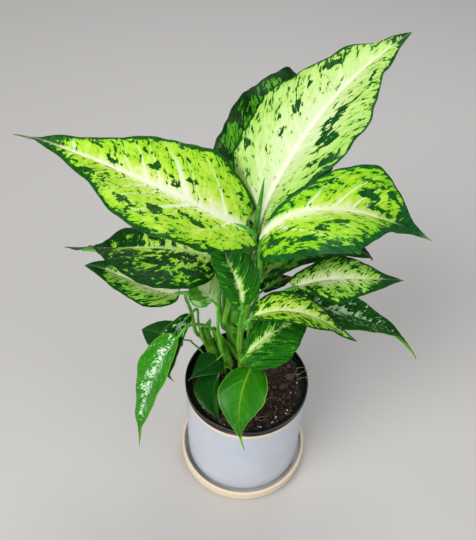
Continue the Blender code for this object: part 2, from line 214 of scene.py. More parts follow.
# Living leaf, variegated. The field between the green islands lacks chlorophyll: cream by the
# midrib, lime further out. The islands are noise stretched along the side veins and cut off at a
# threshold, so their edges are crisp and ragged; they crowd together at the margin into a dark
# green edge and cover the tip. cover shifts that threshold.
# A look's field is its colours from dark to light at fieldPlaces; its dark is the islands, their
# lighter parts and their rims.
leafLook = dict(
    fieldPlaces=(0.0, 0.3, 0.55, 0.8, 1.0),
    pale=0.45, heart=0.45, heartReach=0.35,   # lightness of the field, more by the midrib, how far
    cover=0.0, heartClear=0.10, grains=1.3, blotches=0.5,
    # sizes of the noises, millimetres across and along the side veins
    fleckSize=(4.2, 3.9), blotchSize=(12.0, 14.0), hairSize=(1.6, 12.0),
    threshold=0.62, patchCover=0.32,          # islands lie past the threshold; a patch's share of it
    edge=0.13, edgeReach=7.0, solid=1.3,      # crowding at the margin over some mm; solid edge, mm
    halo=0.05,                                # how far outside an island the mid green starts
    edgeDeep=0.0, ribFade=0.0,                # greener field at the margin; midrib's fade to the tip
    # the edge tint is colour, width in mm and share of a lighter outermost edge: partly the margin's own
    # paler green, partly painted rim light
    tipGreen=0.88, crisp=0.018, edgeTintRimLight=("#2F8A12", 0.8, 0.0),
    streak=0.6, gloss=0.15, rib="#F1F6DF", ribWidth=1.5, ribShare=0.95, vein=0.5, veinWidth=0.085,
    under="#6E9A52", shine=0.42)

limeField = ("#5CB410", "#8FCE1E", "#B6E03C", "#D3EB7C", "#EDF5C9")
featherField = ("#2E8C12", "#55A81C", "#93CC45", "#C9E58C", "#E8F2C6")
silverField = ("#4C9447", "#74AF70", "#9ECA98", "#CDE4C6")

leafLooks = {
    "creamHeart": dict(
        field=("#6AB42A", "#92C94A", "#B2D970", "#C7E194", "#D6E8B8"),
        fieldPlaces=(0.0, 0.25, 0.5, 0.75, 1.0), dark=("#0C3F14", "#1A5F16", "#3E9220"), pale=0.48,
        heart=0.52, heartReach=0.42, cover=-0.05, heartClear=0.05, edge=0.15, edgeReach=6.0, solid=1.8,
        vein=0.4, tipGreen=0.955, edgeDeep=0.25),
    "limeSpeckled": dict(
        field=limeField, dark=("#0B400F", "#1C6612", "#3A9414"), pale=0.46, heart=0.48,
        heartReach=0.26, cover=-0.03, heartClear=0.05, edge=0.17, edgeReach=6.0, solid=2.2, vein=1.0,
        veinWidth=0.1, tipGreen=0.89, fleckSize=(3.6, 4.4), edgeDeep=0.3),
    "limeBlotched": dict(
        field=limeField, dark=("#0C4420", "#1E6B1C", "#3C9616"), pale=0.38, heart=0.5, heartReach=0.25,
        cover=-0.03, heartClear=0.06, edge=0.18, solid=2.6, vein=1.0, veinWidth=0.1, tipGreen=0.79,
        halo=0.07, edgeDeep=0.35),
    "darkBlotched": dict(
        field=("#1F6E10", "#3C9016", "#74BE28", "#A9D84A", "#D5E99A"),
        dark=("#062A08", "#114A0C", "#237010"), pale=0.3, cover=0.09, grains=1.2, blotches=1.1,
        edge=0.14, edgeReach=9.0, solid=3.0, fleckSize=(4.2, 3.4), blotchSize=(13.0, 12.0),
        rib="#B6D98A", ribWidth=1.1, tipGreen=0.86, halo=0.07),
    "limeDark": dict(
        field=("#2C8012", "#5FAE1A", "#93CE2C", "#BBE04E", "#D9EBA0"),
        dark=("#062A08", "#12500E", "#2A8014"), pale=0.42, heart=0.4, heartReach=0.3, cover=0.155,
        blotches=1.2, edge=0.18, edgeReach=9.0, solid=3.0, fleckSize=(3.0, 5.0),
        blotchSize=(9.0, 15.0), rib="#B6D98A", ribWidth=1.1, vein=0.7, tipGreen=0.80, halo=0.07,
        edgeDeep=0.3),
    "creamCentre": dict(
        field=featherField, dark=("#0A3A0D", "#175A10", "#2E8412"), heart=0.5, heartReach=0.4,
        cover=-0.01, edge=0.20, fleckSize=(2.8, 3.8), blotchSize=(8.0, 11.0), vein=0.4, tipGreen=0.80,
        ribWidth=1.2, ribShare=0.7, halo=0.07),
    "limeCentre": dict(
        field=limeField, dark=("#0B400F", "#1C6612", "#3A9414"), pale=0.38, heart=0.4, heartReach=0.4,
        edgeReach=6.0, fleckSize=(2.8, 3.8), blotchSize=(8.0, 11.0), tipGreen=0.99, ribWidth=1.1,
        ribShare=0.45, halo=0.09),
    "feathered": dict(
        field=featherField, dark=("#0E4A0D", "#308818", "#3F981B"), pale=0.22, heart=0.6,
        heartReach=0.24, cover=0.24, heartClear=0.30, grains=1.1, blotches=0.6, edge=0.05,
        edgeReach=6.0, fleckSize=(2.3, 5.0), blotchSize=(8.0, 12.0), ribWidth=0.7, ribShare=0.35,
        vein=0.25, tipGreen=0.76, crisp=0.03),
    "silverDark": dict(
        field=silverField, fieldPlaces=(0.0, 0.3, 0.6, 1.0), dark=("#0D3A08", "#1F5F16", "#2C6A24"),
        heart=0.3, heartReach=0.2, cover=0.255, heartClear=0.25, grains=1.6, blotches=0.8, edge=0.1,
        edgeReach=8.0, fleckSize=(2.6, 3.4), blotchSize=(8.0, 14.0), rib="#1F5A1A", ribWidth=0.6,
        ribShare=0.6, vein=0.05, tipGreen=0.75, shine=0.55, gloss=0.06,
        edgeTintRimLight=("#6FA82C", 0.9, 0.8)),
    "silverGreen": dict(
        field=silverField, fieldPlaces=(0.0, 0.3, 0.6, 1.0), dark=("#26790E", "#3C981C", "#4FA32C"),
        pale=0.75, heart=0.3, heartReach=0.26, cover=0.285, heartClear=0.235, grains=1.6, blotches=0.8,
        edge=0.1, edgeReach=8.0, fleckSize=(1.9, 2.6), blotchSize=(7.0, 12.0), rib="#3F9A28",
        ribWidth=0.7, ribShare=0.6, vein=0.05, tipGreen=0.95, edgeTintRimLight=("#8DB92F", 0.9, 0.7)),
    "paleYoung": dict(
        field=("#5EAA2C", "#88C352", "#AED680", "#D8EABC"), fieldPlaces=(0.0, 0.4, 0.7, 1.0),
        dark=("#3E8C1E", "#52A428", "#6CB83C"), heart=0.4, heartReach=0.7, cover=-0.04, edge=0.10,
        edgeReach=3.0, fleckSize=(2.0, 8.0), blotchSize=(8.0, 16.0), rib="#CFE0B0", ribWidth=0.9,
        vein=0.2, tipGreen=0.95, crisp=0.06),
    "plainGreen": dict(
        field=("#134A04", "#1B6006", "#27780A", "#3C9212", "#74B31F"),
        dark=("#145008", "#1E6A0A", "#277A0C"), pale=0.42, heart=0.22, heartReach=0.5, cover=-0.12,
        edge=-0.1, edgeReach=3.0, solid=0.0, rib="#7FB82C", ribWidth=1.0, ribFade=0.55, vein=0.3,
        veinWidth=0.04, tipGreen=2.0, edgeTintRimLight=("#7CB51F", 1.1, 0.8), streak=0.5,
        blotchSize=(20.0, 30.0), shine=0.34, gloss=0.3),
    "plainDark": dict(
        field=("#0A330A", "#0D400C", "#124E10", "#1D6217", "#3F8A2C"),
        dark=("#08300A", "#0C3E0C", "#114A10"), pale=0.40, heart=0.12, heartReach=0.5, cover=-0.12,
        edge=-0.1, edgeReach=3.0, solid=0.0, rib="#2E7A24", ribWidth=0.8, vein=0.2, veinWidth=0.06,
        tipGreen=2.0, edgeTintRimLight=("#3F7A2A", 0.7, 0.6), streak=0.2, shine=0.36, gloss=0.22),
}


def leafMaterial(name, changes):
    look = {**leafLook, **changes}
    made, add, shader = newMaterial(name)
    # leafPlace: share along, share aside, millimetres in from the margin. veinPlace: millimetres
    # across the side veins, along them, and a number of the leaf's own. veinTurn counts the side
    # veins; patch is 1 where a large blotch sits; ribGap is the distance from the midrib over its
    # own tapering width
    place, vein = (add("Attribute", attribute_name=fact).outputs["Vector"]
                   for fact in ("leafPlace", "veinPlace"))
    turn, ribGap, patch, below = (add("Attribute", attribute_name=fact).outputs["Fac"]
                                  for fact in ("veinTurn", "ribGap", "patch", "underside"))
    along, aside, inward = add("SeparateXYZ", {0: place}).outputs
    noises = []
    for (across, length), own, detail, rough in ((look["fleckSize"], 1.0, 4.0, 0.62),
                                                 (look["blotchSize"], 1.7, 2.0, 0.5),
                                                 (look["hairSize"], 2.3, 3.0, 0.6)):
        wide = add("VectorMath", {0: vein, 1: (1 / across, 1 / length, own)}, operation="MULTIPLY")
        noises.append(add("TexNoise", {"Vector": wide, "Scale": 1.0, "Detail": detail, "Roughness": rough}))
    fleck, blotch, hair = noises

    # heart, the bell beside the midrib: e ^ -(aside / heartReach)^2, fading out before the green tip
    tip = look["tipGreen"]
    ratio = add("Math", {0: aside, 1: look["heartReach"]}, operation="DIVIDE")
    square = add("Math", {0: ratio, 1: ratio}, operation="MULTIPLY")
    bell = add("Math", {0: square, 1: -1.0}, operation="MULTIPLY")
    bell = add("Math", {0: bell}, operation="EXPONENT")
    toTip = add("MapRange", {"Value": along, "From Min": tip - 0.4, "From Max": tip + 0.05, "To Min": 1.0,
                             "To Max": 0.1})
    heart = add("Math", {0: bell, 1: toTip}, operation="MULTIPLY")

    # cover, about 0.5: fleck * grains + blotch * blotches - heart * heartClear, crowding at the
    # margin and the tip, and the large patches; islands lie where it passes the threshold
    fade = add("Math", {0: inward, 1: -1 / look["edgeReach"]}, operation="MULTIPLY")
    fade = add("Math", {0: fade}, operation="EXPONENT")
    cover = 0.5 - 0.5 * look["grains"] + look["cover"]
    for part, share in ((fleck, look["grains"]), (blotch, look["blotches"]), (heart, -look["heartClear"]),
                        (fade, look["edge"]), (patch, look["patchCover"])):
        cover = add("Math", {0: part, 1: share, 2: cover}, operation="MULTIPLY_ADD")
    jag = add("Math", {0: hair, 1: -3.0, 2: inward}, operation="MULTIPLY_ADD")
    rimGreen = add("MapRange", {"Value": jag, "From Min": look["solid"] - 2.5,
                                "From Max": look["solid"] - 0.5, "To Min": 0.3, "To Max": 0.0})
    tipCover = add("MapRange", {"Value": along, "From Min": tip - 0.07, "From Max": tip + 0.03,
                                "To Min": 0.0, "To Max": 0.35}, interpolation_type="SMOOTHSTEP")
    for part in (rimGreen, tipCover, -0.5 * look["blotches"]):
        cover = add("Math", {0: cover, 1: part}, operation="ADD")

    # the field: pale + heart * bell, mottled by the noises and greener at the margin
    streak = look["streak"]
    light = look["pale"] - 0.35
    for part, share in ((heart, look["heart"]), (hair, streak), (fleck, -1.3 * streak), (blotch, -streak),
                        (fade, -look["edgeDeep"])):
        light = add("Math", {0: part, 1: share, 2: light}, operation="MULTIPLY_ADD")
    light = add("Math", {0: light, 1: 0.35 + 0.65 * streak}, operation="ADD")
    field = add("ValToRGB", {"Fac": light}, list(zip(look["fieldPlaces"], look["field"])))
    # pale side veins where veinTurn passes a whole number, each with its own strength
    wavy = add("Math", {0: blotch, 1: 0.35, 2: turn}, operation="MULTIPLY_ADD")
    number = add("Math", {0: wavy}, operation="ROUND")
    own = add("TexWhiteNoise", {"W": number}, noise_dimensions="1D")
    wave = add("Math", {0: wavy, 1: 0.5}, operation="PINGPONG")
    reach = add("MapRange", {"Value": aside, "From Max": 0.8, "To Min": 3.0 * look["veinWidth"],
                             "To Max": 0.8 * look["veinWidth"]})
    wave = add("Math", {0: wave, 1: reach}, operation="DIVIDE")
    line = add("MapRange", {"Value": wave, "To Min": 1.0, "To Max": 0.0}, interpolation_type="SMOOTHSTEP")
    fadeOut = add("MapRange", {"Value": aside, "From Min": 0.1, "From Max": 0.95, "To Min": look["vein"],
                               "To Max": 0.0})
    strength = add("MapRange", {"Value": own, "From Min": 0.2, "From Max": 0.7})
    veinShare = add("Math", {0: line, 1: fadeOut}, operation="MULTIPLY")
    veinShare = add("Math", {0: veinShare, 1: strength}, operation="MULTIPLY")
    # islands: a mid-green rim, then the dark green
    deep, lighter, rimColour = look["dark"]
    passed = look["threshold"]
    rim = add("MapRange", {"Value": cover, "From Min": passed - look["halo"], "From Max": passed},
              interpolation_type="SMOOTHSTEP")
    body = add("MapRange", {"Value": cover, "From Min": passed - look["crisp"],
                            "From Max": passed + look["crisp"]}, interpolation_type="SMOOTHSTEP")
    green = add("ValToRGB", {"Fac": hair}, ((0.38, deep), (0.68, lighter)))
    # the midrib, greener towards the tip
    ribStart = add("Math", {0: along, 1: -look["ribFade"], 2: look["ribShare"]}, operation="MULTIPLY_ADD")
    ribEnd = add("MapRange", {"Value": along, "From Min": tip - 0.12, "From Max": tip + 0.06,
                              "To Min": ribStart, "To Max": 0.12})
    ribShare = add("MapRange", {"Value": ribGap, "From Min": 0.25 * look["ribWidth"],
                                "From Max": 1.5 * look["ribWidth"], "To Min": 1.0, "To Max": 0.0},
                   interpolation_type="SMOOTHSTEP")
    ribShare = add("Math", {0: ribShare, 1: ribEnd}, operation="MULTIPLY")
    # the outermost edge is tinted lighter, partly the margin's own paler green and partly painted rim light;
    # the underside is paler: its pattern shows by a half
    tint, rimLightWidth, rimLightShare = look["edgeTintRimLight"]
    outer = add("MapRange", {"Value": inward, "From Min": 0.3 * rimLightWidth, "From Max": rimLightWidth,
                             "To Min": rimLightShare, "To Max": 0.0})
    belowShare = add("Math", {0: below, 1: 0.6}, operation="MULTIPLY")
    colour = field
    for share, over in ((veinShare, look["rib"]), (rim, rimColour), (body, green), (ribShare, look["rib"]),
                        (outer, tint), (belowShare, look["under"])):
        colour = add("Mix", {0: share, 6: colour, 7: over}, data_type="RGBA").outputs[2]
    # fine blister of the blade between its smallest veins, and the veins pressed in, as low bumps
    grain = add("TexNoise", {"Vector": add("TexCoord").outputs["Object"], "Scale": 1 / (1.4 * mm),
                             "Detail": 2.0})
    height = add("Math", {0: hair, 1: 0.8, 2: grain}, operation="MULTIPLY_ADD")
    height = add("Math", {0: line, 1: -0.8, 2: height}, operation="MULTIPLY_ADD")
    bump = add("Bump", {"Height": height, "Strength": 0.35, "Distance": 0.25 * mm})
    rough = add("MapRange", {"Value": fleck, "From Min": 0.3, "From Max": 0.7,
                             "To Min": look["shine"] - 0.06, "To Max": look["shine"] + 0.06})
    rough = add("Math", {0: below, 1: 0.2, 2: rough}, operation="MULTIPLY_ADD")
    feed(shader, {"Base Color": colour, "Normal": bump, "Roughness": rough, "IOR": 1.4,
                  "Specular IOR Level": look["gloss"], "Subsurface Weight": 0.12,
                  "Subsurface Radius": (0.35, 1.0, 0.2), "Subsurface Scale": 1.5 * mm})
    return made


# Living stalk: smooth, waxy and pale green, streaked lengthwise and mottled paler
stalkLook = dict(low="#88D23E", high="#50AC26", pale="#BCE67A", streak="#35881A", shine=0.36)
youngLook = dict(low="#6FAE45", high="#3E8F2A", pale="#8CC45A", streak="#256B1C", shine=0.36)


def stalkMaterial(name, look):
    # low runs into high with the height, under dark streaks 0.9 mm wide and 26 mm long and pale
    # mottling of about 6 mm
    made, add, shader = newMaterial(name)
    where = add("Attribute", attribute_name="stalkPlace").outputs["Vector"]
    share = add("SeparateXYZ", {0: where}).outputs[2]
    spread = add("VectorMath", {0: where, 1: (1 / 0.9, 1 / 26.0, 3.0)}, operation="MULTIPLY")
    streak = add("TexNoise", {"Vector": spread, "Scale": 1.0, "Detail": 3.0})
    mottle = add("TexNoise", {"Vector": add("TexCoord").outputs["Object"], "Scale": 1 / (6 * mm),
                              "Detail": 3.0})
    dark = add("MapRange", {"Value": streak, "From Min": 0.5, "From Max": 0.72, "To Max": 0.75})
    light = add("MapRange", {"Value": mottle, "From Min": 0.52, "From Max": 0.75, "To Max": 0.6})
    colour = look["low"]
    for part, over in ((share, look["high"]), (dark, look["streak"]), (light, look["pale"])):
        colour = add("Mix", {0: part, 6: colour, 7: over}, data_type="RGBA").outputs[2]
    bump = add("Bump", {"Height": streak, "Strength": 0.25, "Distance": 0.3 * mm})
    feed(shader, {"Base Color": colour, "Normal": bump, "Roughness": look["shine"], "IOR": 1.42,
                  "Subsurface Weight": 0.3, "Subsurface Radius": (0.4, 1.0, 0.2),
                  "Subsurface Scale": 2 * mm})
    return made


# The leaves, millimetres and degrees. A blade starts at base and runs along its midrib; heading and
# rise are the midrib's compass angle from +X and its angle above level at base, middle and tip. Roll
# turns the blade about the midrib, fold lifts its left and right halves. belly is where it is
# widest; left and right are the fullness of each half at the base, the middle and the tip. The
# stalk runs from its cane or the soil up to the blade. tail is the share of the length that is a
# thin point and its half-width; edgeScale crowds the green at each half's margin, and lean is how
# far the flecks follow the side veins. A patch is (share along, share aside, size). ripple is the
# wave of the margin and gap the space between side veins. look names the leaf's finish.
leafPlans = {
    "leafTopRight": dict(
        base=(5, 25, 330), length=225, width=54, rise=(95, 30, 35), heading=(25, 50, 15), roll=(-5, 0),
        fold=(15, 15), lobe=4, belly=0.45, tip=0.9, left=(1, 0.9, 0.8), right=(0.4, 1.1, 0.8),
        stalk=((-11, 43, 207), (-6, 38, 250), (3, 31, 300)), stalkRadius=(3, 2.4),
        patches=((0.55, -0.4, 8), (0.5, -0.3, 6), (0.45, -0.45, 10), (0.45, -0.6, 6), (0.7, 0.65, 8),
            (0.5, 0.4, 6), (0.4, 0.35, 5), (0.6, 0.55, 5), (0.3, 0.8, 6), (0.75, -0.65, 6),
            (0.35, -0.65, 4)), look="creamHeart", ripple=2.2, gap=12, slot="leaf_cream"),
    "leafTopBack": dict(
        base=(0, 36, 324), length=168, width=52, rise=(50, 30, -15), heading=(75, 70, 85),
        roll=(0, 15), fold=(20, 10), lobe=4, belly=0.45, tip=0.6, left=(1.2, 1, 1), right=(1, 1, 1),
        stalk=((-16, 53, 185), (-12, 50, 230), (-4, 43, 290)), stalkRadius=(3, 2.4),
        look="darkBlotched", ripple=4.5, gap=11, slot="leaf_cream"),
    "leafTopLeft": dict(
        base=(-10, 7, 350), length=205, width=60, rise=(40, 20, 5), heading=(195, 170, 170),
        roll=(-10, -5), fold=(15, 25), lobe=18, belly=0.45, tip=1.2, left=(1, 1, 0.4),
        right=(1, 0.6, 0.5), stalk=((-25, 36, 190), (-20, 33, 230), (-10, 20, 295), (-2, 10, 335)),
        stalkRadius=(3.2, 2.6), tail=(0.05, 0.8), edgeScale=(1.2, 1.4), lean=0.4,
        patches=((0.5, 0.7, 5), (0.4, 0.55, 6), (0.65, 0.65, 5), (0.6, -0.15, 5), (0.45, -0.3, 5),
            (0.35, -0.15, 5), (0.3, -0.3, 4), (0.3, 0.4, 5), (0.25, 0.5, 5), (0.86, -0.55, 12),
            (0.93, -0.5, 12), (0.95, 0.5, 9), (0.8, -0.85, 8)), look="limeSpeckled", ripple=1.7,
        gap=12, slot="leaf_cream"),
    "leafUpperRight": dict(
        base=(6, 4, 340), length=165, width=60, rise=(80, -10, -15), heading=(-5, 5, -15),
        roll=(20, 0), fold=(60, 20), lobe=8, belly=0.45, tip=2, left=(0.1, 0.7, 1.3),
        right=(1, 1, 0.7), stalk=((-7, 36, 188), (-3, 29, 225), (5, 13, 290)), stalkRadius=(3.2, 2.6),
        edgeScale=(1, 2.2), lean=0.5,
        patches=((0.6, 0.35, 8), (0.65, 0.15, 7), (0.35, -0.5, 5), (0.3, -0.65, 6), (0.45, -0.35, 4),
            (0.15, -0.55, 6), (0.7, 0.6, 7)), look="limeBlotched", ripple=1.8, gap=11,
        slot="leaf_cream"),
    "leafLeftSecond": dict(
        base=(-30, 21, 293), length=160, width=46, rise=(25, -20, 15), heading=(170, 165, 185),
        roll=(-30, 40), fold=(20, 20), lobe=2, belly=0.4, tip=0.9, left=(1.2, 1.4, 1.2),
        right=(1, 0.9, 1), stalk=((-27, 44, 172), (-32, 42, 215), (-26, 34, 262)),
        stalkRadius=(2.8, 2.2), tail=(0.13, 1.1), edgeScale=(1.3, 2.4), lean=0.3, look="limeDark",
        ripple=2.6, gap=10, slot="leaf_blotched"),
    "leafLeftThird": dict(
        base=(-68, 12, 258), length=95, width=30, rise=(-5, 15, -5), heading=(180, 165, 175),
        roll=(0, -5), fold=(10, 10), lobe=2, belly=0.35, tip=1.1, left=(1, 0.7, 1.1),
        right=(1, 0.9, 1), stalk=((-55, 34, 170), (-60, 34, 205), (-64, 24, 240)),
        stalkRadius=(2.4, 1.7), look="creamCentre", ripple=1.2, gap=7, slot="leaf_cream"),
    "leafCentre": dict(
        base=(-9, -12, 273), length=70, width=26, rise=(75, 55, 50), heading=(115, 135, 115),
        roll=(-5, -5), fold=(10, 15), lobe=2, belly=0.35, tip=0.6, left=(0.6, 0.7, 1),
        right=(0.8, 0.8, 1), stalk=((-9, 12, 172), (-10, 4, 215), (-9, -5, 250)),
        stalkRadius=(2.2, 1.6), look="feathered", ripple=1, gap=6, slot="leaf_blotched"),
    "leafInnerLeft": dict(
        base=(-36, 3, 259), length=80, width=25, rise=(-20, -10, 10), heading=(115, 115, 125),
        roll=(-20, -10), fold=(-5, 10), lobe=4, belly=0.3, tip=1.5, left=(0.8, 0.6, 0.5),
        right=(0.7, 0.7, 0.8),
        stalk=((-26.6, 18.8, 155), (-30, 8, 195), (-31, -7, 235), (-31, -9, 252)),
        stalkRadius=(1.8, 1.3), patches=((0.2, 0.5, 12), (0.45, 0.6, 12)), look="paleYoung",
        ripple=0.8, gap=6, slot="leaf_blotched"),
    "leafRightBehind": dict(
        base=(10, 31, 263), length=125, width=34, rise=(30, 15, -65), heading=(45, 0, 25),
        roll=(-10, 0), fold=(15, 20), lobe=0, belly=0.4, tip=1.1, left=(1, 1, 1), right=(1, 1, 1.1),
        stalk=((-8, 48, 188), (-2, 44, 215), (5, 36, 248)), stalkRadius=(2.4, 1.8),
        look="darkBlotched", ripple=1.4, gap=8, slot="leaf_blotched"),
    "leafRightMiddle": dict(
        base=(38, 12, 272), length=105, width=34, rise=(30, 15, -20), heading=(5, -10, 20),
        roll=(10, 5), fold=(15, 5), lobe=8, belly=0.4, tip=1.6, left=(0.6, 0.7, 0.8),
        right=(0.4, 1, 0.9), stalk=((1, 20, 168), (4, 22, 205), (16, 16, 248)), stalkRadius=(2.4, 1.7),
        edgeScale=(1.2, 1.5), look="creamCentre", ripple=1.2, gap=7, slot="leaf_cream"),
    "leafRightFront": dict(
        base=(0, -24, 269), length=115, width=30, rise=(50, -30, -25), heading=(0, 5, -15),
        roll=(-5, 0), fold=(10, 15), lobe=2, belly=0.4, tip=0.8, left=(0.8, 0.7, 0.3),
        right=(0.6, 0.8, 0.4), stalk=((0, 15, 158), (-1, 16, 200), (0, 3, 232)),
        stalkRadius=(2.2, 1.7), edgeScale=(2.6, 0.9), look="limeCentre", ripple=1, gap=7,
        slot="leaf_cream"),
    "leafRightLow": dict(
        base=(44, 28, 243), length=165, width=34, rise=(-15, -30, -60), heading=(-20, 5, -20),
        roll=(0, -10), fold=(15, 20), lobe=4, belly=0.35, tip=1.6, left=(0.9, 0.8, 1),
        right=(1.1, 0.9, 0.8), stalk=((-1.2, 26.7, 154), (7, 30, 195), (27, 30, 233)),
        stalkRadius=(2.2, 1.6), tail=(0.1, 0.8), look="silverDark", ripple=1, gap=8,
        slot="leaf_blotched"),
    "leafLowerRight": dict(
        base=(-3, -16, 201), length=80, width=30, rise=(55, 20, -35), heading=(25, 25, 30),
        roll=(-20, 10), fold=(0, 0), lobe=4, belly=0.4, tip=1.2, left=(0.8, 0.9, 1.1),
        right=(1.3, 1.3, 1.2), stalk=((-4, 14.5, 136), (-4, 0, 160)), stalkRadius=(2, 1.5),
        look="feathered", ripple=0.9, gap=7, slot="leaf_blotched"),
    "leafFrontHeart": dict(
        base=(3, -21, 188), length=85, width=26, rise=(5, -40, -45), heading=(-110, -95, -50),
        roll=(10, 5), fold=(20, 5), lobe=1, belly=0.4, tip=2, left=(1.2, 1, 0.8),
        right=(0.9, 0.9, 0.9), stalk=((4, 8, 126), (5, 2, 150), (5, -8, 178)), stalkRadius=(1.5, 1.3),
        tail=(0.07, 1.0), look="plainGreen", ripple=0.8, gap=9, slot="leaf_plain"),
    "leafSeedlingLeft": dict(
        base=(-31, 4, 166), length=40, width=16, rise=(-5, 5, -30), heading=(-135, -135, -145),
        roll=(-5, 5), fold=(15, 15), lobe=3, belly=0.3, tip=1.6, left=(1.1, 1, 0.9),
        right=(0.9, 0.9, 0.8), stalk=((-23, 13, 126), (-24, 10, 150)), stalkRadius=(1.1, 0.9),
        look="plainDark", ripple=0.5, gap=6, slot="leaf_plain"),
    "leafSeedlingFront": dict(
        base=(-30, -8, 152), length=48, width=19, rise=(-25, -20, -45), heading=(-115, -85, -40),
        roll=(10, 0), fold=(20, 10), lobe=2, belly=0.35, tip=1.5, left=(0.2, 0.4, 0.6),
        right=(1.1, 1, 0.9), stalk=((-14, 14, 126), (-19, 8, 146)), stalkRadius=(1.1, 0.9),
        look="plainDark", ripple=0.5, gap=7, slot="leaf_plain"),
    "leafLeftHanging": dict(
        base=(-70, -6, 213), length=160, width=24, rise=(-45, -70, -85), heading=(-145, -135, -135),
        roll=(5, 0), fold=(15, 10), lobe=1, belly=0.3, tip=1.6, left=(0.8, 0.9, 0.9),
        right=(1, 0.9, 0.9),
        stalk=((-11, 34, 126), (-20, 34, 148), (-31, 33, 167), (-43, 23, 196), (-57, 8, 216)),
        stalkRadius=(2.6, 1.4), sheath=0.9, tail=(0.06, 0.8), look="silverGreen", ripple=1.2, gap=7,
        slot="leaf_blotched"),
    "leafLeftBehind": dict(
        base=(-60, 24, 212), length=110, width=18, rise=(-15, -80, -110), heading=(-140, -135, -140),
        roll=(0, 0), fold=(10, 10), lobe=1, belly=0.4, tip=1.3, left=(1, 1, 0.9), right=(0.6, 0.8, 1),
        stalk=((-46, 27, 162), (-52, 28, 192)), stalkRadius=(1.7, 1.3), look="silverDark", ripple=0.8,
        gap=6, slot="leaf_blotched"),
    "leafLeftPlain": dict(
        base=(-69, 28, 165), length=50, width=20, rise=(10, -10, -15), heading=(180, 155, 165),
        roll=(0, -5), fold=(5, 10), lobe=3, belly=0.4, tip=0.9, left=(1.1, 1.1, 1.1),
        right=(0.9, 0.9, 1), stalk=((-44, 28, 126), (-49, 28, 145), (-60, 29, 160)),
        stalkRadius=(1.2, 1), look="plainDark", ripple=0.6, gap=6, slot="leaf_plain"),
    "leafInnerRight": dict(
        base=(11, 30, 246), length=42, width=15, rise=(10, -10, -30), heading=(40, 40, 30),
        roll=(-5, -5), fold=(10, 15), lobe=3, belly=0.4, tip=1.4, left=(0.9, 0.9, 0.9),
        right=(0.8, 0.8, 0.8), stalk=((-7, 43, 162), (0, 41, 200), (7, 36, 230)),
        stalkRadius=(1.8, 1.3), look="darkBlotched", ripple=0.6, gap=6, slot="leaf_blotched"),
    "leafBackLeft": dict(
        base=(-24, 62, 262), length=125, width=32, rise=(35, 5, -30), heading=(125, 128, 135),
        roll=(0, 4), fold=(14, 12), lobe=3, belly=0.4, tip=1.3, left=(1, 0.95, 0.9), right=(0.9, 1, 1),
        stalk=((-24, 52, 160), (-27, 56, 205), (-25, 59, 240)), stalkRadius=(2.4, 1.8),
        look="limeSpeckled", ripple=1.4, gap=8, slot="leaf_cream"),
    "leafBackRight": dict(
        base=(8, 66, 262), length=130, width=33, rise=(35, 5, -35), heading=(60, 55, 50), roll=(0, -4),
        fold=(12, 14), lobe=3, belly=0.4, tip=1.3, left=(0.9, 1, 1), right=(1, 0.95, 0.9),
        stalk=((-11, 54, 160), (-3, 60, 205), (4, 63, 240)), stalkRadius=(2.4, 1.8),
        look="limeBlotched", ripple=1.4, gap=8, slot="leaf_cream"),
}

bladeHalf = 0.32    # half a blade's thickness beside the midrib
lobeReach = 0.12    # share of the length over which a heart-shaped base runs back past the stalk
soilTop = 126.0     # a stalk that starts no higher than this stands in the soil


def threePoint(values, t):
    # parabola through three values at t = 0, 1/2 and 1
    a, b, c = values
    return a * (1 - t) * (1 - 2 * t) + 4 * b * t * (1 - t) + c * t * (2 * t - 1)


def bladeOutline(t, belly, tip):
    # half-width as a share of the greatest: a quarter ellipse to the belly, then (1 - u^1.5)^tip
    rising = np.sqrt(np.clip(1 - (1 - t / belly) ** 2, 0, 1))
    u = np.clip((t - belly) / (1 - belly), 0, 1)
    return np.where(t < belly, rising, np.maximum(1 - u ** 1.5, 1e-6) ** tip)


def fullness(values, t):
    # evenly spaced values run together, each weighted by a bell curve in t
    values = np.array(values, float)
    middles = (np.arange(len(values)) + 0.5) / len(values)
    weights = np.exp(-(((t[:, None] - middles) * len(values) / 0.75) ** 2))
    return (weights * values).sum(1) / weights.sum(1)


def midribFrame(plan, t):
    # the midrib is the running total of its direction (cos rise cos heading, cos rise sin heading,
    # sin rise); side and up are square to it, turned about it by the roll
    heading, rise = (np.radians(threePoint(plan[key], t)) for key in ("heading", "rise"))
    along = np.stack([np.cos(rise) * np.cos(heading), np.cos(rise) * np.sin(heading), np.sin(rise)], 1)
    steps = np.diff(t)[:, None] * (along[1:] + along[:-1]) / 2
    points = np.array(plan["base"]) + plan["length"] * (np.vstack([np.zeros(3), np.cumsum(steps, 0)])
                                                        + along[0] * t[0])
    side = np.stack([-np.sin(heading), np.cos(heading), np.zeros_like(t)], 1)
    up = np.cross(along, side)
    first, last = plan["roll"]
    roll = np.radians(first + (last - first) * t)[:, None]
    side = side * np.cos(roll) + up * np.sin(roll)
    return points, along, side, np.cross(along, side)


def leafNode(key):
    # a leaf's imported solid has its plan's name with underscores, as leafTopLeft, leaf_top_left
    return re.sub("([A-Z])", lambda letter: "_" + letter[0].lower(), key)


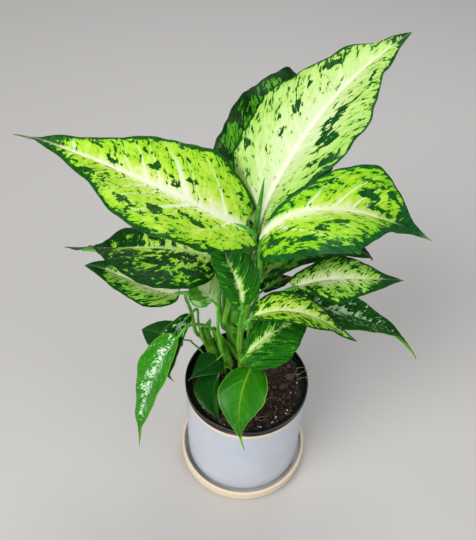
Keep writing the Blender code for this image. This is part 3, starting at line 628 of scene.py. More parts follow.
def makeBlade(name, plan, finish, node, seed):
    # Grid of t along the midrib and s across, -1 to 1. A point lies at midrib + side * d cos(fold)
    # + up * (d sin(fold) + relief) - along * lobe |s| e^(-t / reach), with d = |s| times the
    # half-width. Relief is the groove over the midrib, the swell between side veins, an arch over
    # each half, and waves that grow as |s|^3 towards the margin. Two such sheets, bladeHalf
    # apart from the middle one, close round the margin.
    length, wide, gap = plan["length"], plan["width"], plan["gap"]
    rows = int(np.clip(length * 0.8, 56, 160))
    columns = int(np.clip(wide, 27, 53)) // 2 * 2 + 1
    turn = np.linspace(0, 1, rows)
    t = 0.0006 + 0.9988 * (0.4 * (1 - np.cos(np.pi * turn)) + 0.2 * turn)
    s = np.linspace(-1, 1, columns)
    s = np.sign(s) * np.abs(s) ** 1.1
    left = s > 0
    points, along, side, up = midribFrame(plan, t)
    phase = np.random.default_rng(seed).uniform(0, 2 * math.pi, 6)
    tailShare, tailHalf = plan.get("tail", (0.0, 0.0))
    shape = wide * bladeOutline(np.minimum(t / (1 - tailShare), 1), plan["belly"], plan["tip"])
    # the margin is uneven by up to 2%, out on one half where it is in on the other
    nick = 0.012 * np.sin(t * 37 + phase[0]) + 0.008 * np.sin(t * 83 + phase[1])
    width = np.where(left, (shape * fullness(plan["left"], t) * (1 + nick))[:, None],
                     (shape * fullness(plan["right"], t) * (1 - nick))[:, None])
    width = np.maximum(width, tailHalf * np.sqrt(1 - t ** 8)[:, None])
    fold = np.radians(np.where(left, *plan["fold"]))
    t, a = t[:, None], np.abs(s)[None, :]
    d = a * width
    # side veins leave the midrib at about 50 degrees and bend towards the tip
    bend = 0.75 * d + 0.35 * d * d / wide
    turns = (t * length - bend) / gap + np.where(left, 0.3, 0.0)
    turns = turns + 0.16 * np.sin(2.1 * turns + phase[2]) + 0.1 * np.sin(5.3 * turns + phase[3])
    between = np.abs(turns - np.round(turns)) * 2
    swell = (gap * 0.065 * (between ** 0.8 - 0.5) * smoothStep(0, 0.14, a) * (1 - smoothStep(0.7, 1, a))
             * smoothStep(0, 0.06, t) * (1 - smoothStep(0.85, 1, t)))
    groove = -0.7 * np.exp(-(d / 1.5) ** 2) * (1 - t)
    arch = wide * 0.3 * a * (1 - a) * np.sin(np.pi * t) ** 0.7
    sway = np.where(left, phase[4], phase[5])
    wave = plan["ripple"] * a ** 3 * smoothStep(0, 0.15, t) * (1 - smoothStep(0.9, 1, t)) * (
        np.sin(t * length / 9.5 + sway) + 0.55 * np.sin(t * length / 5.1 + 2 * sway))
    back = -plan["lobe"] * a * np.exp(-t / lobeReach) * np.minimum(1, t / 0.03)
    lift = d * np.sin(fold) + swell + groove + arch + wave
    sheet = sweep(points, side, up, np.sign(s) * d * np.cos(fold), lift) + along[:, None] * back[..., None]
    normal = unit(np.cross(np.gradient(sheet, axis=0), np.gradient(sheet, axis=1)))
    normal = unit(normal + 0.02 * up[:, None]) * (bladeHalf * (1 - 0.6 * a ** 6)[..., None])
    verts, faces = loft(np.concatenate([sheet + normal, (sheet - normal)[:, ::-1]], axis=1))

    def bothSheets(upper, lower=None):
        # values for the upper and the lower sheet, the same unless told, and for the two end points
        upper, lower = (np.broadcast_to(values, sheet.shape[:2])
                        for values in (upper, upper if lower is None else lower))
        flat = np.concatenate([upper, lower[:, ::-1]], axis=1).reshape(-1)
        return np.append(flat, [upper[0].mean(), upper[-1].mean()])

    inward = width * (1 - a) / np.where(left, *plan.get("edgeScale", (1, 1)))
    patch = np.zeros((rows, columns))
    for where, aside, size in plan.get("patches", ()):
        patch += np.exp(-((t - where) * length / size) ** 2 - ((s - aside) * wide / (0.55 * size)) ** 2)
    ribWidth = 0.35 + 2.3 * (1 - t) ** 0.8 * plan["stalkRadius"][1] / 2.6
    across = turns * gap + (1 - plan.get("lean", 1)) * bend
    onVein = (across, np.sign(s) * d, seed * 7.31)
    facts = {"leafPlace": np.stack([bothSheets(values) for values in (t, a, inward)], 1),
             "veinPlace": np.stack([bothSheets(values) for values in onVein], 1),
             "veinTurn": bothSheets(turns + 100), "ribGap": bothSheets(d / ribWidth),
             "patch": bothSheets(np.minimum(1.6 * patch, 1)), "underside": bothSheets(0.0, 1.0)}
    makeObject(name, verts, faces, finish, node, facts=facts)


# Canes, millimetres: the axis, radius at foot and top, and the space between leaf scars
canePlans = {
    "caneMain": dict(points=((-10, 46, 118), (-10, 46, 126), (-15, 46, 150), (-17, 44, 178), (-15, 40, 206)),
                     radius=(8.0, 6.0), node="cane_main", rings=17),
    "caneLeft": dict(points=((-33, 33, 118), (-34, 33, 126), (-41, 34, 150), (-48, 34, 180)),
                     radius=(5.4, 4.2), node="cane_left", rings=14),
    "caneMiddle": dict(points=((-19, 25, 118), (-19, 25, 126), (-24, 25, 148), (-30, 24, 172)),
                       radius=(4.6, 3.6), node="cane_middle", rings=13),
    "caneRight": dict(points=((-4, 22, 118), (-4, 22, 126), (-5, 21, 150), (-7, 19, 182)),
                      radius=(5.2, 4.0), node="cane_right", rings=13),
}


def nearestCane(point):
    # the axis point of the nearest cane, 7 mm lower than the point, and its distance
    axes = np.vstack([splinePath(plan["points"], 60) for plan in canePlans.values()])
    gaps = np.linalg.norm(axes - (point - (0, 0, 7)), axis=1)
    return gaps.min(), axes[gaps.argmin()]


def makeStalk(name, plan, finish, node, seed):
    # A closed tube along the stalk and on under the midrib. Its radius at angle q round it is
    # r (1 + wide cos^2 q) (1 - channel e^(-((q - 90) / 32)^2)): round at the blade, broad and
    # channelled where it clasps the cane. Under the blade it tapers to the tip as a keel.
    t = np.linspace(0, 1, 61)
    points, along, side, up = midribFrame(plan, t)
    lead = points[0] - along[0] * max(plan["length"] * 0.06, 9.0)
    start = [np.array(p, float) for p in plan["stalk"]]
    if start[0][2] < soilTop + 1:
        start.insert(0, start[0] - (0, 0, 7))
    else:
        gap, axis = nearestCane(start[0])
        if gap < 16:
            start.insert(0, axis)
    path = splinePath(start + [lead, points[0]], 64)
    # the keel's stations stop short of both ends of the midrib
    keelPart = slice(1, 55)
    t = t[keelPart]
    low, high = plan["stalkRadius"]
    depth = 0.65 + (high - 0.25) * (1 - t) ** 1.1
    keel = points[keelPart] - up[keelPart] * (depth * smoothStep(0, 0.08, t))[:, None]
    sides, ups = carriedFrames(np.vstack([path, points[1]]), side[0])
    whole = np.vstack([path[:-1], keel])
    sides, ups = np.vstack([sides[:-2], side[keelPart]]), np.vstack([ups[:-2], up[keelPart]])
    share = np.linspace(0, 1, len(path) - 1)
    thinnest = 0.25 + 0.6 * plan.get("tail", (0, 0))[1]
    radius = np.append(low + (high - low) * share ** 0.8,
                       np.minimum(high, thinnest + (high - thinnest) * (1 - t) ** 1.1))[:, None]
    share = np.append(share, np.ones(len(t)))[:, None]
    q = around(20)
    wide = plan.get("sheath", 0.35) * (1 - smoothStep(0.3, 0.75, share))
    channel = 0.1 + 0.3 * (1 - smoothStep(0.4, 0.85, share)) * (share < 1)
    off = np.degrees(np.angle(np.exp(1j * (q - np.pi / 2))))
    polar = radius * (1 + wide * np.cos(q) ** 2) * (1 - channel * np.exp(-(off / 32) ** 2))
    polar = polar * (1 + 0.03 * np.sin(share * 23 + seed))
    rings = sweep(whole, sides, ups, polar * np.cos(q), polar * np.sin(q))
    place = (np.abs(off) / 57.3 * radius + seed * 5.0, runAlong(whole)[:, None], share)
    makeStem(name, rings, place, finish, node)


def makeCane(name, plan, finish, seed):
    # A closed rod along the axis. Leaf scars: a swelling 4% of the radius proud, with a cut 3% deep
    # above it; the top 5 mm round over as sqrt(1 - x^2)
    path = splinePath(plan["points"], 120)
    run = runAlong(path)
    radius = np.interp(run / run[-1], (0, 1), plan["radius"])
    heights = np.arange(plan["rings"] * 0.4, run[-1], plan["rings"])
    scar = np.zeros(len(path))
    for height in heights + np.random.default_rng(seed).uniform(-2, 2, len(heights)):
        scar += np.exp(-(run - height) ** 2)
        radius = radius * (1 + 0.04 * np.exp(-((run - height + 0.8) / 1.6) ** 2)
                           - 0.03 * np.exp(-((run - height - 0.6) / 0.7) ** 2))
    radius = radius * np.sqrt(np.clip(1 - (1 - np.clip((run[-1] - run) / 5, 0, 1)) ** 2, 0.02, 1))
    q = around(22)
    spots = np.stack(np.broadcast_arrays(4 * np.cos(q), 4 * np.sin(q), run[:, None]), -1)
    polar = radius[:, None] * (1 + 0.035 * lumps(spots, 9, seed))
    rings = roundTube(path, (1.0, 0.0, 0.0), polar, q)
    place = (q * radius.mean() + 0 * polar, run[:, None], (run / run[-1])[:, None])
    facts = {"scar": np.append(np.repeat(scar, len(q)), [scar[0], scar[-1]])}
    makeStem(name, rings, place, finish, plan["node"], facts=facts)


def caneMaterial():
    # Living cane: smooth green bark going tan and corky low down, with a thin brown ring at every
    # leaf scar and fine lengthwise cracks
    made, add, shader = newMaterial("living green cane with leaf scars")
    where = add("Attribute", attribute_name="stalkPlace").outputs["Vector"]
    share = add("SeparateXYZ", {0: where}).outputs[2]
    spread = add("VectorMath", {0: where, 1: (1 / 1.1, 1 / 9.0, 1.0)}, operation="MULTIPLY")
    streak = add("TexNoise", {"Vector": spread, "Scale": 1.0, "Detail": 4.0})
    mottle = add("TexNoise", {"Vector": add("TexCoord").outputs["Object"], "Scale": 1 / (5 * mm),
                              "Detail": 3.0})
    aged = add("Math", {0: share, 1: -0.9, 2: 0.24}, operation="MULTIPLY_ADD")
    corky = add("Math", {0: mottle, 1: aged}, operation="ADD")
    colour = add("ValToRGB", {"Fac": corky}, ((0.35, "#62B02E"), (0.62, "#86CA4A"), (0.85, "#A8C862"),
                                              (1.0, "#90804A")))
    dark = add("MapRange", {"Value": streak, "From Min": 0.55, "From Max": 0.75, "To Max": 0.35})
    scar = add("Attribute", attribute_name="scar").outputs["Fac"]
    ring = add("MapRange", {"Value": scar, "From Min": 0.35, "From Max": 0.9, "To Max": 0.35})
    for part, over in ((dark, "#3F7A24"), (ring, "#6E6E38")):
        colour = add("Mix", {0: part, 6: colour, 7: over}, data_type="RGBA").outputs[2]
    bump = add("Bump", {"Height": streak, "Strength": 0.25, "Distance": 0.4 * mm})
    feed(shader, {"Base Color": colour, "Normal": bump, "Roughness": 0.5})
    return made


# Old leaf sheaths still clasping the canes: cane, shares of its height where each starts and ends,
# the way its open side faces (degrees from +X), and how far its tip leans out, millimetres
sheathPlans = {
    "sheathLeftFront": ("caneLeft", 0.02, 0.9, 60, 3.0),
    "sheathLeftSide": ("caneLeft", 0.35, 1.15, 200, 5.0),
    "sheathMiddle": ("caneMiddle", 0.02, 1.0, 100, 3.0),
    "sheathMiddleHigh": ("caneMiddle", 0.4, 1.25, 300, 4.0),
    "sheathRight": ("caneRight", 0.02, 0.85, 120, 3.0),
    "sheathRightHigh": ("caneRight", 0.45, 1.2, 10, 5.0),
    "sheathMain": ("caneMain", 0.25, 0.8, 80, 3.0),
    "sheathMainHigh": ("caneMain", 0.55, 1.1, 250, 4.0),
}


def makeSheath(name, plan, finish, seed):
    # A crescent in section: an arc of half-angle 150 degrees at the foot closing to 18 at the tip,
    # 0.5 mm thick, thinner at its edges, standing 0.5 mm off the cane and leaning out near its tip
    caneKey, start, end, facing, lean = plan
    cane = canePlans[caneKey]
    whole = splinePath(cane["points"], 100)
    whole = np.vstack([whole, whole[-1] + (whole[-1] - whole[-2]) * np.arange(1, 41)[:, None]])
    places = np.linspace(start, end, 46)[:, None] * 99
    path = np.hstack([np.interp(places, np.arange(140), whole[:, k]) for k in range(3)])
    u = np.linspace(0, 1, 46)[:, None]
    facing = math.radians(facing)
    away = np.array((-math.cos(facing), -math.sin(facing), 0.0))
    path = path + away * (lean * smoothStep(0.5, 1, u) ** 1.5)
    turn = np.linspace(-1, 1, 17)
    q = np.pi + np.radians(np.interp(u, (0, 0.5, 0.8, 1), (150, 120, 75, 18))) * turn
    thick = 0.5 * (1 - 0.7 * turn ** 2) * (1 - 0.5 * u)
    flare = 1 + 0.25 * smoothStep(0.6, 1, u) * turn ** 2 + 0.02 * np.sin(9 * turn + 5 * u + seed)
    wall = flare * (np.interp(places / 99, (0, 1), cane["radius"]) + 0.5)
    q = np.hstack([q, q[:, ::-1]])
    rings = roundTube(path, -away, np.hstack([wall + thick, (wall - 0.1)[:, ::-1]]), q)
    makeStem(name, rings, (q * 6, places * 0.8, u), finish, cane["node"], 70)


curlPath = ((-7, 19, 178), (-7, 17, 195), (-5.5, 14, 212), (-0.5, 12, 221), (3, 12, 215), (0.5, 12, 202),
            (-2.5, 13, 190), (-5, 16, 181))
spearPath = ((-17, 42, 203), (-18, 38, 207), (-10, 33, 250), (-3, 26, 300), (0, 18, 345), (4, 15, 399))


def makeCurl(finish):
    # a sheath that has split off the right-hand cane and curled over: a flat strip, four times as
    # wide as it is thick, on a hairpin path
    path = splinePath(curlPath, 70)
    u = np.linspace(0, 1, 70)[:, None]
    sides, ups = carriedFrames(path, (0.2, 0.9, 0.3))
    q = around(16)
    out = np.interp(u, (0, 0.3, 0.6, 0.85, 1), (2.6, 2.9, 2.4, 1.6, 0.5)) * np.cos(q)
    rings = sweep(path, sides, ups, out, 0.5 * np.sin(q) - 0.5 * out ** 2 / 2.9)
    makeStem("curledSheath", rings, (out * 1.5, u * 30, u), finish, "cane_right", 70)


def makeSpear(finish):
    # The leaf still rolled up: the radius round it steps by a fifth where the outer edge
    # overlaps, and that edge winds a turn and a quarter on its way up
    path = splinePath(spearPath, 110)
    run = runAlong(path)[:, None]
    share = run / run[-1]
    q = around(30)
    winding = np.mod(q - 2 * np.pi * 1.25 * share, 2 * np.pi) / (2 * np.pi)
    polar = np.interp(share, (0, 0.25, 0.5, 0.72, 0.9, 1), (1.7, 1.8, 2.1, 2.5, 1.6, 0.3))
    polar = polar * (1 + smoothStep(0.3, 0.5, share) * 0.24 * (winding - 0.5))
    rings = roundTube(path, (1.0, 0.0, 0.0), polar, q)
    makeStem("spearLeaf", rings, (winding * 9, run, share), finish, "spear_leaf", 75)


def quarter(centre, radius, start, end, steps=9):
    # points of a round edge in a turned profile, angles in degrees
    angles = np.radians(np.linspace(start, end, steps))
    return [(centre[0] + radius * math.cos(a), centre[1] + radius * math.sin(a)) for a in angles]


def makeTurned(name, node, finish, profile, wobble=0.0, seed=1, smoothAngle=40, bare=None):
    # solid of revolution: profile points (radius, height) run counter-clockwise with the axis on
    # the left, and long straight runs are divided every 3 mm. wobble moves the wall in and out by
    # that many mm, as hand-finished clay does. bare(radius, height) says how far past the glaze
    # line a point lies
    fine = []
    for (r0, z0), (r1, z1) in zip(profile, profile[1:] + profile[:1]):
        closing = (r1, z1) == profile[0] and profile[0][0] == 0
        pieces = 1 if closing else max(1, int(math.hypot(r1 - r0, z1 - z0) / 3.0))
        fine += [(r0 + (r1 - r0) * k / pieces, z0 + (z1 - z0) * k / pieces) for k in range(pieces)]
    fine = np.array(fine)
    angle = around(168)
    outwards = np.stack([np.cos(angle), np.sin(angle), 0 * angle], -1)
    rings = fine[:, :1, None] * outwards + fine[:, 1:, None] * (0, 0, 1)
    if wobble:
        rings = rings + outwards * (wobble * lumps(rings, 55, seed, 2) * (fine[:, :1] > 2))[..., None]
    onAxis = fine[:, 0] < 1e-6
    # a profile that starts and ends on the axis closes with fans there
    verts, faces = loft(rings[~onAxis], wrap=not onAxis.any())
    if onAxis.any():
        verts[-2:] = [(0, 0, height) for height in fine[onAxis][:, 1]]
    facts = {"bareClay": bare(np.hypot(verts[:, 0], verts[:, 1]), verts[:, 2])} if bare else {}
    makeObject(name, verts, faces, finish, node, smoothAngle, facts)


# The pots and the soil, millimetres. edge and turn are the radii of the rim and of the foot's bend;
# the glaze stops at bareFrom, a radius on the saucer and a height on the cover pot
saucerPlan = dict(radius=71.5, height=17.5, floor=5.0, wall=3.4, edge=1.7, turn=7.0, bareFrom=68.6)


def makeSaucer(finish):
    # a foot ring under a flat dish whose wall turns up in a quarter round to a round bare edge
    p = saucerPlan
    edge, turn = p["edge"], p["turn"]
    profile = ([(0, 0.0), (57, 0.0), (58, 0.8), (60.5, 0.8), (61.5, 0.0)]
               + quarter((p["radius"] - turn, turn), turn, -88, 0, 12)
               + quarter((p["radius"] - edge, p["height"] - edge), edge, 0, 180, 19)
               + quarter((p["radius"] - p["wall"] - 4, p["floor"] + 4), 4.0, 0, -90)
               + [(0, p["floor"])])
    makeTurned("saucer", "saucer", finish, profile, wobble=0.12, seed=3,
               bare=lambda r, z: np.maximum(r - p["bareFrom"], 3 - z))


coverPlan = dict(radius=64.0, foot=5.3, rim=131.0, wall=5.0, footRadius=55.0, drain=7.0, floor=11.3,
                 bareFrom=125.4)


def makeCoverPot(finish):
    # a straight cylinder, rounded in to its foot as a quarter ellipse, with a drain hole and a
    # round rim
    p = coverPlan
    drain, foot, floor, edge = p["drain"], p["foot"], p["floor"], p["wall"] / 2
    turn = p["radius"] - p["footRadius"]
    profile = ([(drain, foot + 1), (drain + 1, foot + 0.6), (44, foot + 0.6), (46, foot)]
               + [(p["footRadius"] + turn * math.cos(a), foot + 15 + 15 * math.sin(a))
                  for a in np.radians(np.linspace(-88, 0, 18))]
               + quarter((p["radius"] - edge, p["rim"] - edge), edge, 0, 180, 19)
               + quarter((p["radius"] - p["wall"] - 8, floor + 8), 8.0, 0, -90)
               + [(drain + 1, floor), (drain, floor - 1)])
    makeTurned("coverPot", "cover_pot", finish, profile, wobble=0.15, seed=5,
               bare=lambda r, z: np.maximum(z - p["bareFrom"], 6.5 - z))


growPlan = dict(lipRadius=65.0, lipUnder=131.3, lipTop=140.0, lipWall=2.3, linerTop=57.5, linerBase=44.0,
                base=14.0, wall=1.4, drain=7.0)


def makeGrowPot(finish):
    # the lip carries two fine ribs outside and a step inside, as the mould leaves them
    p = growPlan
    lip, under, top, base, drain = (p[key] for key in ("lipRadius", "lipUnder", "linerTop", "base", "drain"))
    edge = p["lipWall"] / 2

    def liner(z):
        return p["linerBase"] + (top - p["linerBase"]) * (z - base) / (under - base)

    profile = ([(drain, base), (40, base), (41.4, base + 0.6), (liner(17), 17.0), (liner(60) - 0.2, 60.0),
                (liner(60.8) + 0.25, 60.8), (liner(61.6) - 0.2, 61.6), (top, under), (lip - 1.0, under),
                (lip - 0.3, under + 0.3), (lip - 0.1, 133.4), (lip - 0.55, 133.9), (lip - 0.55, 135.0),
                (lip - 0.1, 135.5)]
               + quarter((lip - edge, p["lipTop"] - edge), edge, 0, 180, 15)
               + [(lip - 2 * edge, under + 5.0), (lip - 2 * edge - 0.6, under + 3.4), (60.0, under + 1.5),
                  (top, under + 0.9), (top - 0.9, under + 0.5), (top - p["wall"], under),
                  (42.6, base + 3.4), (40.6, base + 1.4), (drain, base + 1.4)])
    makeTurned("growPot", "grow_pot", finish, profile, smoothAngle=35)


soilPlan = dict(low=15.7, shoulder=20.0, lowRadius=42.8, edge=58.6, top=127.6)


def soilHeight(x, y):
    # height of the soil's surface: lumps of 26 and 7 mm, a little higher round the canes, and
    # climbing as the cube of the radius where it lies against the pot
    spot = np.stack([x, y], -1)
    near = np.exp(-(((x + 18) ** 2 + (y - 32) ** 2) / 26 ** 2))
    away = np.sqrt(x * x + y * y) / soilPlan["edge"]
    bumps = 0.8 * lumps(spot, 26, 21, 2) + 0.6 * lumps(spot, 7, 22, 3)
    return soilPlan["top"] + bumps * (1 - 0.7 * away ** 6) + 1.2 * near + 4.8 * away ** 3


def makeSoil(finish):
    # closed body: underside, wall, then the surface in rings 1 mm apart following soilHeight
    p = soilPlan
    low = np.array([(2.0, p["low"]), (p["lowRadius"] - 3, p["low"]), (p["lowRadius"], p["shoulder"]),
                    (51.2, 90.0), (54.9, 124.0), (55.6, 130.8), (57.4, 132.5), (p["edge"] + 0.1, 132.9)])
    radii = np.append(low[:, 0], np.linspace(p["edge"], 1.0, 54))[:, None]
    x, y = radii * np.cos(around(260)), radii * np.sin(around(260))
    z = soilHeight(x, y)
    z[:len(low)] = low[:, 1:]
    verts, faces = loft(np.stack([x, y, z], -1))
    makeObject("soil", verts, faces, finish, "soil", 80)


def pebbleShape():
    # a cube of 2 x 2 faces a side, its points pushed out to a ball: 26 points, 24 faces
    grid = [point for point in itertools.product((-1, 0, 1), repeat=3) if any(point)]
    faces = []
    for axis, level, a, b in itertools.product(range(3), (-1, 1), (-1, 0), (-1, 0)):
        corners = [grid.index(tuple(np.roll((level, a + da, b + db), axis).tolist()))
                   for da, db in ((0, 0), (1, 0), (1, 1), (0, 1))]
        faces.append(corners if level > 0 else corners[::-1])
    return unit(np.array(grid, float)), np.array(faces)


def scatterPebbles(name, finish, spots, sizes, seed, stretch=(1.0, 0.8, 0.6)):
    # one lumpy pebble of 24 faces at each spot: size times stretch along its own turned axes, each
    # point moved in or out by up to 22%
    dice = np.random.default_rng(seed)
    shape, faces = pebbleShape()
    n = len(spots)
    body = shape * (1 + dice.uniform(-0.22, 0.22, (n, len(shape), 1)))
    body = body * (np.array(stretch) * dice.uniform(0.8, 1.2, (n, 1, 3))) * np.array(sizes)[:, None, None]
    turnZ, tilt = dice.uniform(0, 2 * np.pi, n), dice.normal(0, 0.35, (n, 2))
    c, s = np.cos(turnZ)[:, None], np.sin(turnZ)[:, None]
    x, y, z = body[..., 0], body[..., 1], body[..., 2]
    x, z = x + z * tilt[:, :1], z - x * tilt[:, :1]
    y, z = y + z * tilt[:, 1:], z - y * tilt[:, 1:]
    body = np.stack([x * c - y * s, x * s + y * c, z], -1) + spots[:, None]
    quads = (faces + (np.arange(n) * len(shape))[:, None, None]).reshape(-1, 4)
    facts = {"tint": np.repeat(dice.uniform(0, 1, n), len(shape))}
    makeObject(name, body.reshape(-1, 3), quads.tolist(), finish, "soil", 50, facts)


def soilSpots(count, reach=58.0, sink=0.0, corner=None):
    # spots spread evenly over the soil's disc, or, with corner, gathered round that angle at the wall
    if corner is None:
        r, a = reach * np.sqrt(chance.uniform(0, 1, count)), chance.uniform(0, 2 * np.pi, count)
    else:
        r, a = reach - np.abs(chance.normal(0, 7, count)), np.radians(corner) + chance.normal(0, 0.55, count)
    x, y = r * np.cos(a), r * np.sin(a)
    return np.stack([x, y, soilHeight(x, y) + sink], -1)


# dried root fibres on the soil and over the right-hand lip: the points each wanders past
rootPaths = (((54, 6, 132.5), (59, 6, 136), (63.5, 4, 140.8), (66.5, 0, 139.5), (68.5, -5, 137)),
             ((53, 20, 132.5), (58, 19, 136), (62, 15, 140.8), (64.2, 8, 140.6), (63.6, 0, 140.7)),
             ((50, 12, 132), (57, 12, 135), (62, 12, 140.6), (65.6, 13, 139.5), (67.5, 16, 137)),
             ((20, -20, 129.5), (27, -16, 130.5), (35, -18, 130), (41, -25, 131)),
             ((8, -40, 130), (17, -41, 131), (25, -37, 130)),
             ((-40, -12, 130), (-33, -20, 131), (-25, -22, 130)))


def makeRoot(number, points, finish):
    # a thin tube, 0.24 mm in radius thinning to 0.12
    path = splinePath(points, 40)
    path = path + 0.5 * np.stack([lumps(path, 9, 70 + number), lumps(path, 8, 90 + number), np.zeros(40)], -1)
    radius = np.linspace(0.24, 0.12, 40)[:, None]
    verts, faces = loft(roundTube(path, (0.3, 1.0, 0.2), radius, around(6)))
    makeObject("rootFibre%d" % number, verts, faces, finish, "soil")


def glazeMaterial(name, glaze, glazeLight):
    # Slip-cast stoneware under a gloss glaze with a faint cloudiness and a few pin specks. The rim
    # was wiped before firing and shows warm, matt, sandy clay; bareClay is how many millimetres a
    # point lies past the glaze line
    made, add, shader = newMaterial(name)
    where = add("TexCoord").outputs["Object"]
    ragged, cloud, dots, sand = (
        add("TexNoise", {"Vector": where, "Scale": 1 / (size * mm), "Detail": detail})
        for size, detail in ((14, 4.0), (38, 3.0), (1.6, 1.0), (0.7, 4.0)))
    past = add("Attribute", attribute_name="bareClay").outputs["Fac"]
    edge = add("Math", {0: ragged, 1: 1.6, 2: past}, operation="MULTIPLY_ADD")
    bare = add("MapRange", {"Value": edge, "From Min": 0.6, "From Max": 1.1},
               interpolation_type="SMOOTHSTEP")
    colour = add("ValToRGB", {"Fac": cloud}, ((0.3, glaze), (0.7, glazeLight)))
    speck = add("MapRange", {"Value": dots, "From Min": 0.79, "From Max": 0.83, "To Max": 0.5})
    clay = add("ValToRGB", {"Fac": sand}, ((0.25, "#D2B992"), (0.5, "#E8D6BC"), (0.75, "#F2E7D3")))
    for part, over in ((speck, "#8E8474"), (bare, clay.outputs[0])):
        colour = add("Mix", {0: part, 6: colour, 7: over}, data_type="RGBA").outputs[2]
    rough = add("MapRange", {"Value": bare, "To Min": 0.24, "To Max": 0.8})
    relief = add("Math", {0: bare, 1: sand}, operation="MULTIPLY")
    bump = add("Bump", {"Height": relief, "Strength": 0.4, "Distance": 0.25 * mm})
    bump = add("Bump", {"Height": cloud, "Strength": 0.25, "Distance": 1.2 * mm, "Normal": bump})
    feed(shader, {"Base Color": colour, "Roughness": rough, "Normal": bump, "IOR": 1.5})
    return made


def blackPlasticMaterial():
    # Thin moulded polypropylene, blue-black and dully shiny, finely grained, with faint dust
    made, add, shader = newMaterial("moulded black polypropylene")
    where = add("TexCoord").outputs["Object"]
    dust = add("TexNoise", {"Vector": where, "Scale": 1 / (5 * mm), "Detail": 5.0, "Roughness": 0.65})
    grain = add("TexNoise", {"Vector": where, "Scale": 1 / (0.9 * mm), "Detail": 2.0})
    tone = add("ValToRGB", {"Fac": dust}, ((0.45, "#07090E"), (0.62, "#0C0F16"), (0.8, "#24262B")))
    rough = add("MapRange", {"Value": dust, "From Min": 0.3, "From Max": 0.7, "To Min": 0.14,
                             "To Max": 0.3})
    bump = add("Bump", {"Height": grain, "Strength": 0.15, "Distance": 0.1 * mm})
    feed(shader, {"Base Color": tone, "Roughness": rough, "Normal": bump, "Specular IOR Level": 0.4})
    return made


def earthMaterial(name, stops, tinted=True, grainSize=1.1):
    # Damp potting mix: near-black peat between reddish-brown crumbs of composted bark, matt; where
    # tinted, each crumb has its own tone
    made, add, shader = newMaterial(name)
    where = add("TexCoord").outputs["Object"]
    grain = add("TexNoise", {"Vector": where, "Scale": 1 / (grainSize * mm), "Detail": 4.0,
                             "Roughness": 0.7})
    tone = grain
    if tinted:
        tint = add("Attribute", attribute_name="tint").outputs["Fac"]
        tone = add("Math", {0: grain, 1: 0.6}, operation="MULTIPLY")
        tone = add("Math", {0: tint, 1: 0.6, 2: tone}, operation="MULTIPLY_ADD")
    colour = add("ValToRGB", {"Fac": tone}, stops)
    bump = add("Bump", {"Height": grain, "Strength": 0.7, "Distance": 0.5 * mm})
    feed(shader, {"Base Color": colour, "Normal": bump, "Roughness": 0.82})
    return made


def rootMaterial():
    # Dried root fibre: pale straw, matt, browner in patches
    made, add, shader = newMaterial("dried root fibre")
    where = add("TexCoord").outputs["Object"]
    patch = add("TexNoise", {"Vector": where, "Scale": 1 / (4 * mm)})
    tone = add("ValToRGB", {"Fac": patch}, ((0.35, "#C9C0AE"), (0.65, "#A0937A")))
    feed(shader, {"Base Color": tone, "Roughness": 0.7})
    return made


leafFinish = {look: leafMaterial("living variegated leaf " + look, changes)
              for look, changes in leafLooks.items()}
paleStalk = stalkMaterial("living pale green leaf stalk", stalkLook)
print("plant materials made")

for number, (key, plan) in enumerate(leafPlans.items(), 1):
    makeBlade(key, plan, leafFinish[plan["look"]], leafNode(key), number)
print("blades made")

for number, (key, plan) in enumerate(leafPlans.items(), 1):
    makeStalk(key + "Stalk", plan, paleStalk, leafNode(key), number)
print("stalks made")

cane = caneMaterial()
for number, (key, plan) in enumerate(canePlans.items(), 40):
    makeCane(key, plan, cane, number)
for number, (key, plan) in enumerate(sheathPlans.items(), 60):
    makeSheath(key, plan, paleStalk, number)
makeCurl(paleStalk)
makeSpear(stalkMaterial("living rolled young leaf", youngLook))
print("canes and rolled leaf made")

# the saucer's glaze is paler and warmer than the cover pot's: the paleness is painted light, brightening the
# shaded gap between pot and saucer
makeSaucer(glazeMaterial("slip-cast stoneware, milky glaze and wiped bare rim", "#DAD8D4", "#E4E1DC"))
makeCoverPot(glazeMaterial("slip-cast stoneware, pale gloss glaze and wiped bare rim", "#BEC6D3", "#C9CFD9"))
makeGrowPot(blackPlasticMaterial())
print("pots made")

peat = earthMaterial("damp peat", ((0.3, "#0B0706"), (0.55, "#1A100C"), (0.75, "#32221A")), False)
crumb = earthMaterial("crumbs of composted bark", ((0.15, "#120B08"), (0.45, "#2B1B14"), (0.7, "#4F372A"),
                                                   (1.0, "#86664F")), grainSize=0.9)
bark = earthMaterial("bark flakes", ((0.2, "#1E130E"), (0.6, "#50352B"), (1.0, "#8C6A54")), grainSize=1.6)
perlite = earthMaterial("expanded perlite", ((0.2, "#B9B4AB"), (0.6, "#E6E3DC"), (1.0, "#FFFFFF")),
                        grainSize=0.5)
makeSoil(peat)
spots = soilSpots(3000)
scatterPebbles("soilCrumbs", crumb, spots, np.exp(chance.normal(-0.12, 0.42, 3000)).clip(0.4, 2.3), 31)
spots = soilSpots(60, 54, 0.5)
scatterPebbles("barkFlakes", bark, spots, chance.uniform(1.1, 2.5, 60), 32, (1.3, 0.8, 0.35))
chunks = np.array([(46, 10), (38, -2), (30, 18), (26, -12), (45, -14)], float)
chunks = np.column_stack([chunks, soilHeight(chunks[:, 0], chunks[:, 1]) + 0.8])
scatterPebbles("barkChunks", bark, chunks, (3.6, 3.0, 3.3, 2.6, 2.8), 34, (1.2, 0.9, 0.5))
spots = np.vstack([soilSpots(16, 56, 0.5), soilSpots(18, 57, 0.6, -58)])
scatterPebbles("perliteGrains", perlite, spots, chance.uniform(0.5, 1.1, 34), 33, (1.0, 0.9, 0.8))
straw = rootMaterial()
for number, points in enumerate(rootPaths):
    makeRoot(number, points, straw)
print("soil made")

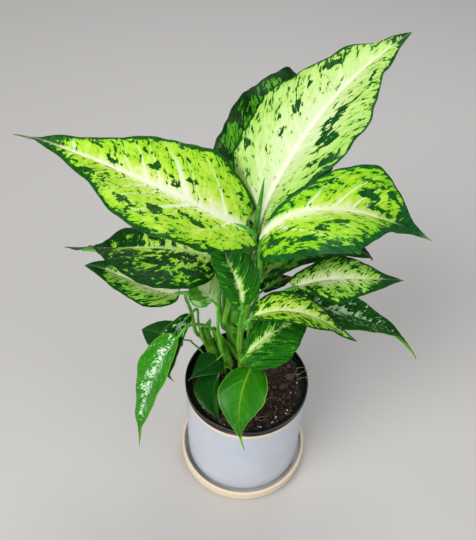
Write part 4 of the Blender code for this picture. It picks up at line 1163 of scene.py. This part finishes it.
# The studio: a plain matt floor, left out of the object, a dim even sky, and round lamps given as
# place, target, metres across, watts and colour
studioPlan = dict(floor="#C3C1BF", floorHalf=4.0, floorDrop=0.0005, sky="#F3F3F5", skyStrength=0.27)
lampPlans = {
    "keyLamp": ((-1.53, -1.45, 2.57), (0, 0, 0.22), 1.87, 68.0, "#FFFDFA"),
    "fillLamp": ((1.7, -1.02, 1.86), (0, 0, 0.25), 1.7, 15.5, "#FAFBFF"),
    "frontLamp": ((-0.35, -1.2, 0.5), (-0.02, 0, 0.2), 0.5, 4.5, "#FFFFFF"),
    "rimLamp": ((0.2, 0.9, 1.5), (0, 0, 0.3), 0.8, 8.0, "#FFFFFF"),
}
half, drop = studioPlan["floorHalf"], studioPlan["floorDrop"]
mesh = bpy.data.meshes.new("studioFloor")
corners = [(-half, -half, -drop), (half, -half, -drop), (half, half, -drop), (-half, half, -drop)]
mesh.from_pydata(corners, [], [(0, 1, 2, 3)])
made, add, shader = newMaterial("plain pale floor")
feed(shader, {"Base Color": studioPlan["floor"], "Roughness": 0.9})
mesh.materials.append(made)
floor = bpy.data.objects.new("studioFloor", mesh)
bpy.context.collection.objects.link(floor)

world = bpy.data.worlds.new("studio")
bpy.context.scene.world = world
world.use_nodes = True
feed(world.node_tree.nodes["Background"], {"Color": studioPlan["sky"], "Strength": studioPlan["skyStrength"]})
for name, (place, target, size, power, colour) in lampPlans.items():
    lamp = bpy.data.lights.new(name, "AREA")
    lamp.shape, lamp.size, lamp.energy, lamp.color = "DISK", size, power, linear(colour)[:3]
    holder = bpy.data.objects.new(name, lamp)
    holder.location = place
    holder.rotation_euler = (Vector(target) - Vector(place)).to_track_quat("-Z", "Y").to_euler()
    bpy.context.collection.objects.link(holder)

# The camera stands in front and above: metres, degrees down from level and round its own axis
cameraPlan = dict(place=(-0.014, -0.422, 0.757), down=46.9, tilt=2.4, lens=46.67, sensor=36.0)
cameraData = bpy.data.cameras.new("camera")
cameraData.lens, cameraData.sensor_width = cameraPlan["lens"], cameraPlan["sensor"]
camera = bpy.data.objects.new("camera", cameraData)
camera.matrix_world = (Matrix.Translation(cameraPlan["place"])
                       @ Matrix.Rotation(math.radians(90 - cameraPlan["down"]), 4, "X")
                       @ Matrix.Rotation(math.radians(cameraPlan["tilt"]), 4, "Z"))
bpy.context.collection.objects.link(camera)
bpy.context.scene.camera = camera
bpy.context.scene.view_settings.view_transform = "Standard"

print("scene ready")
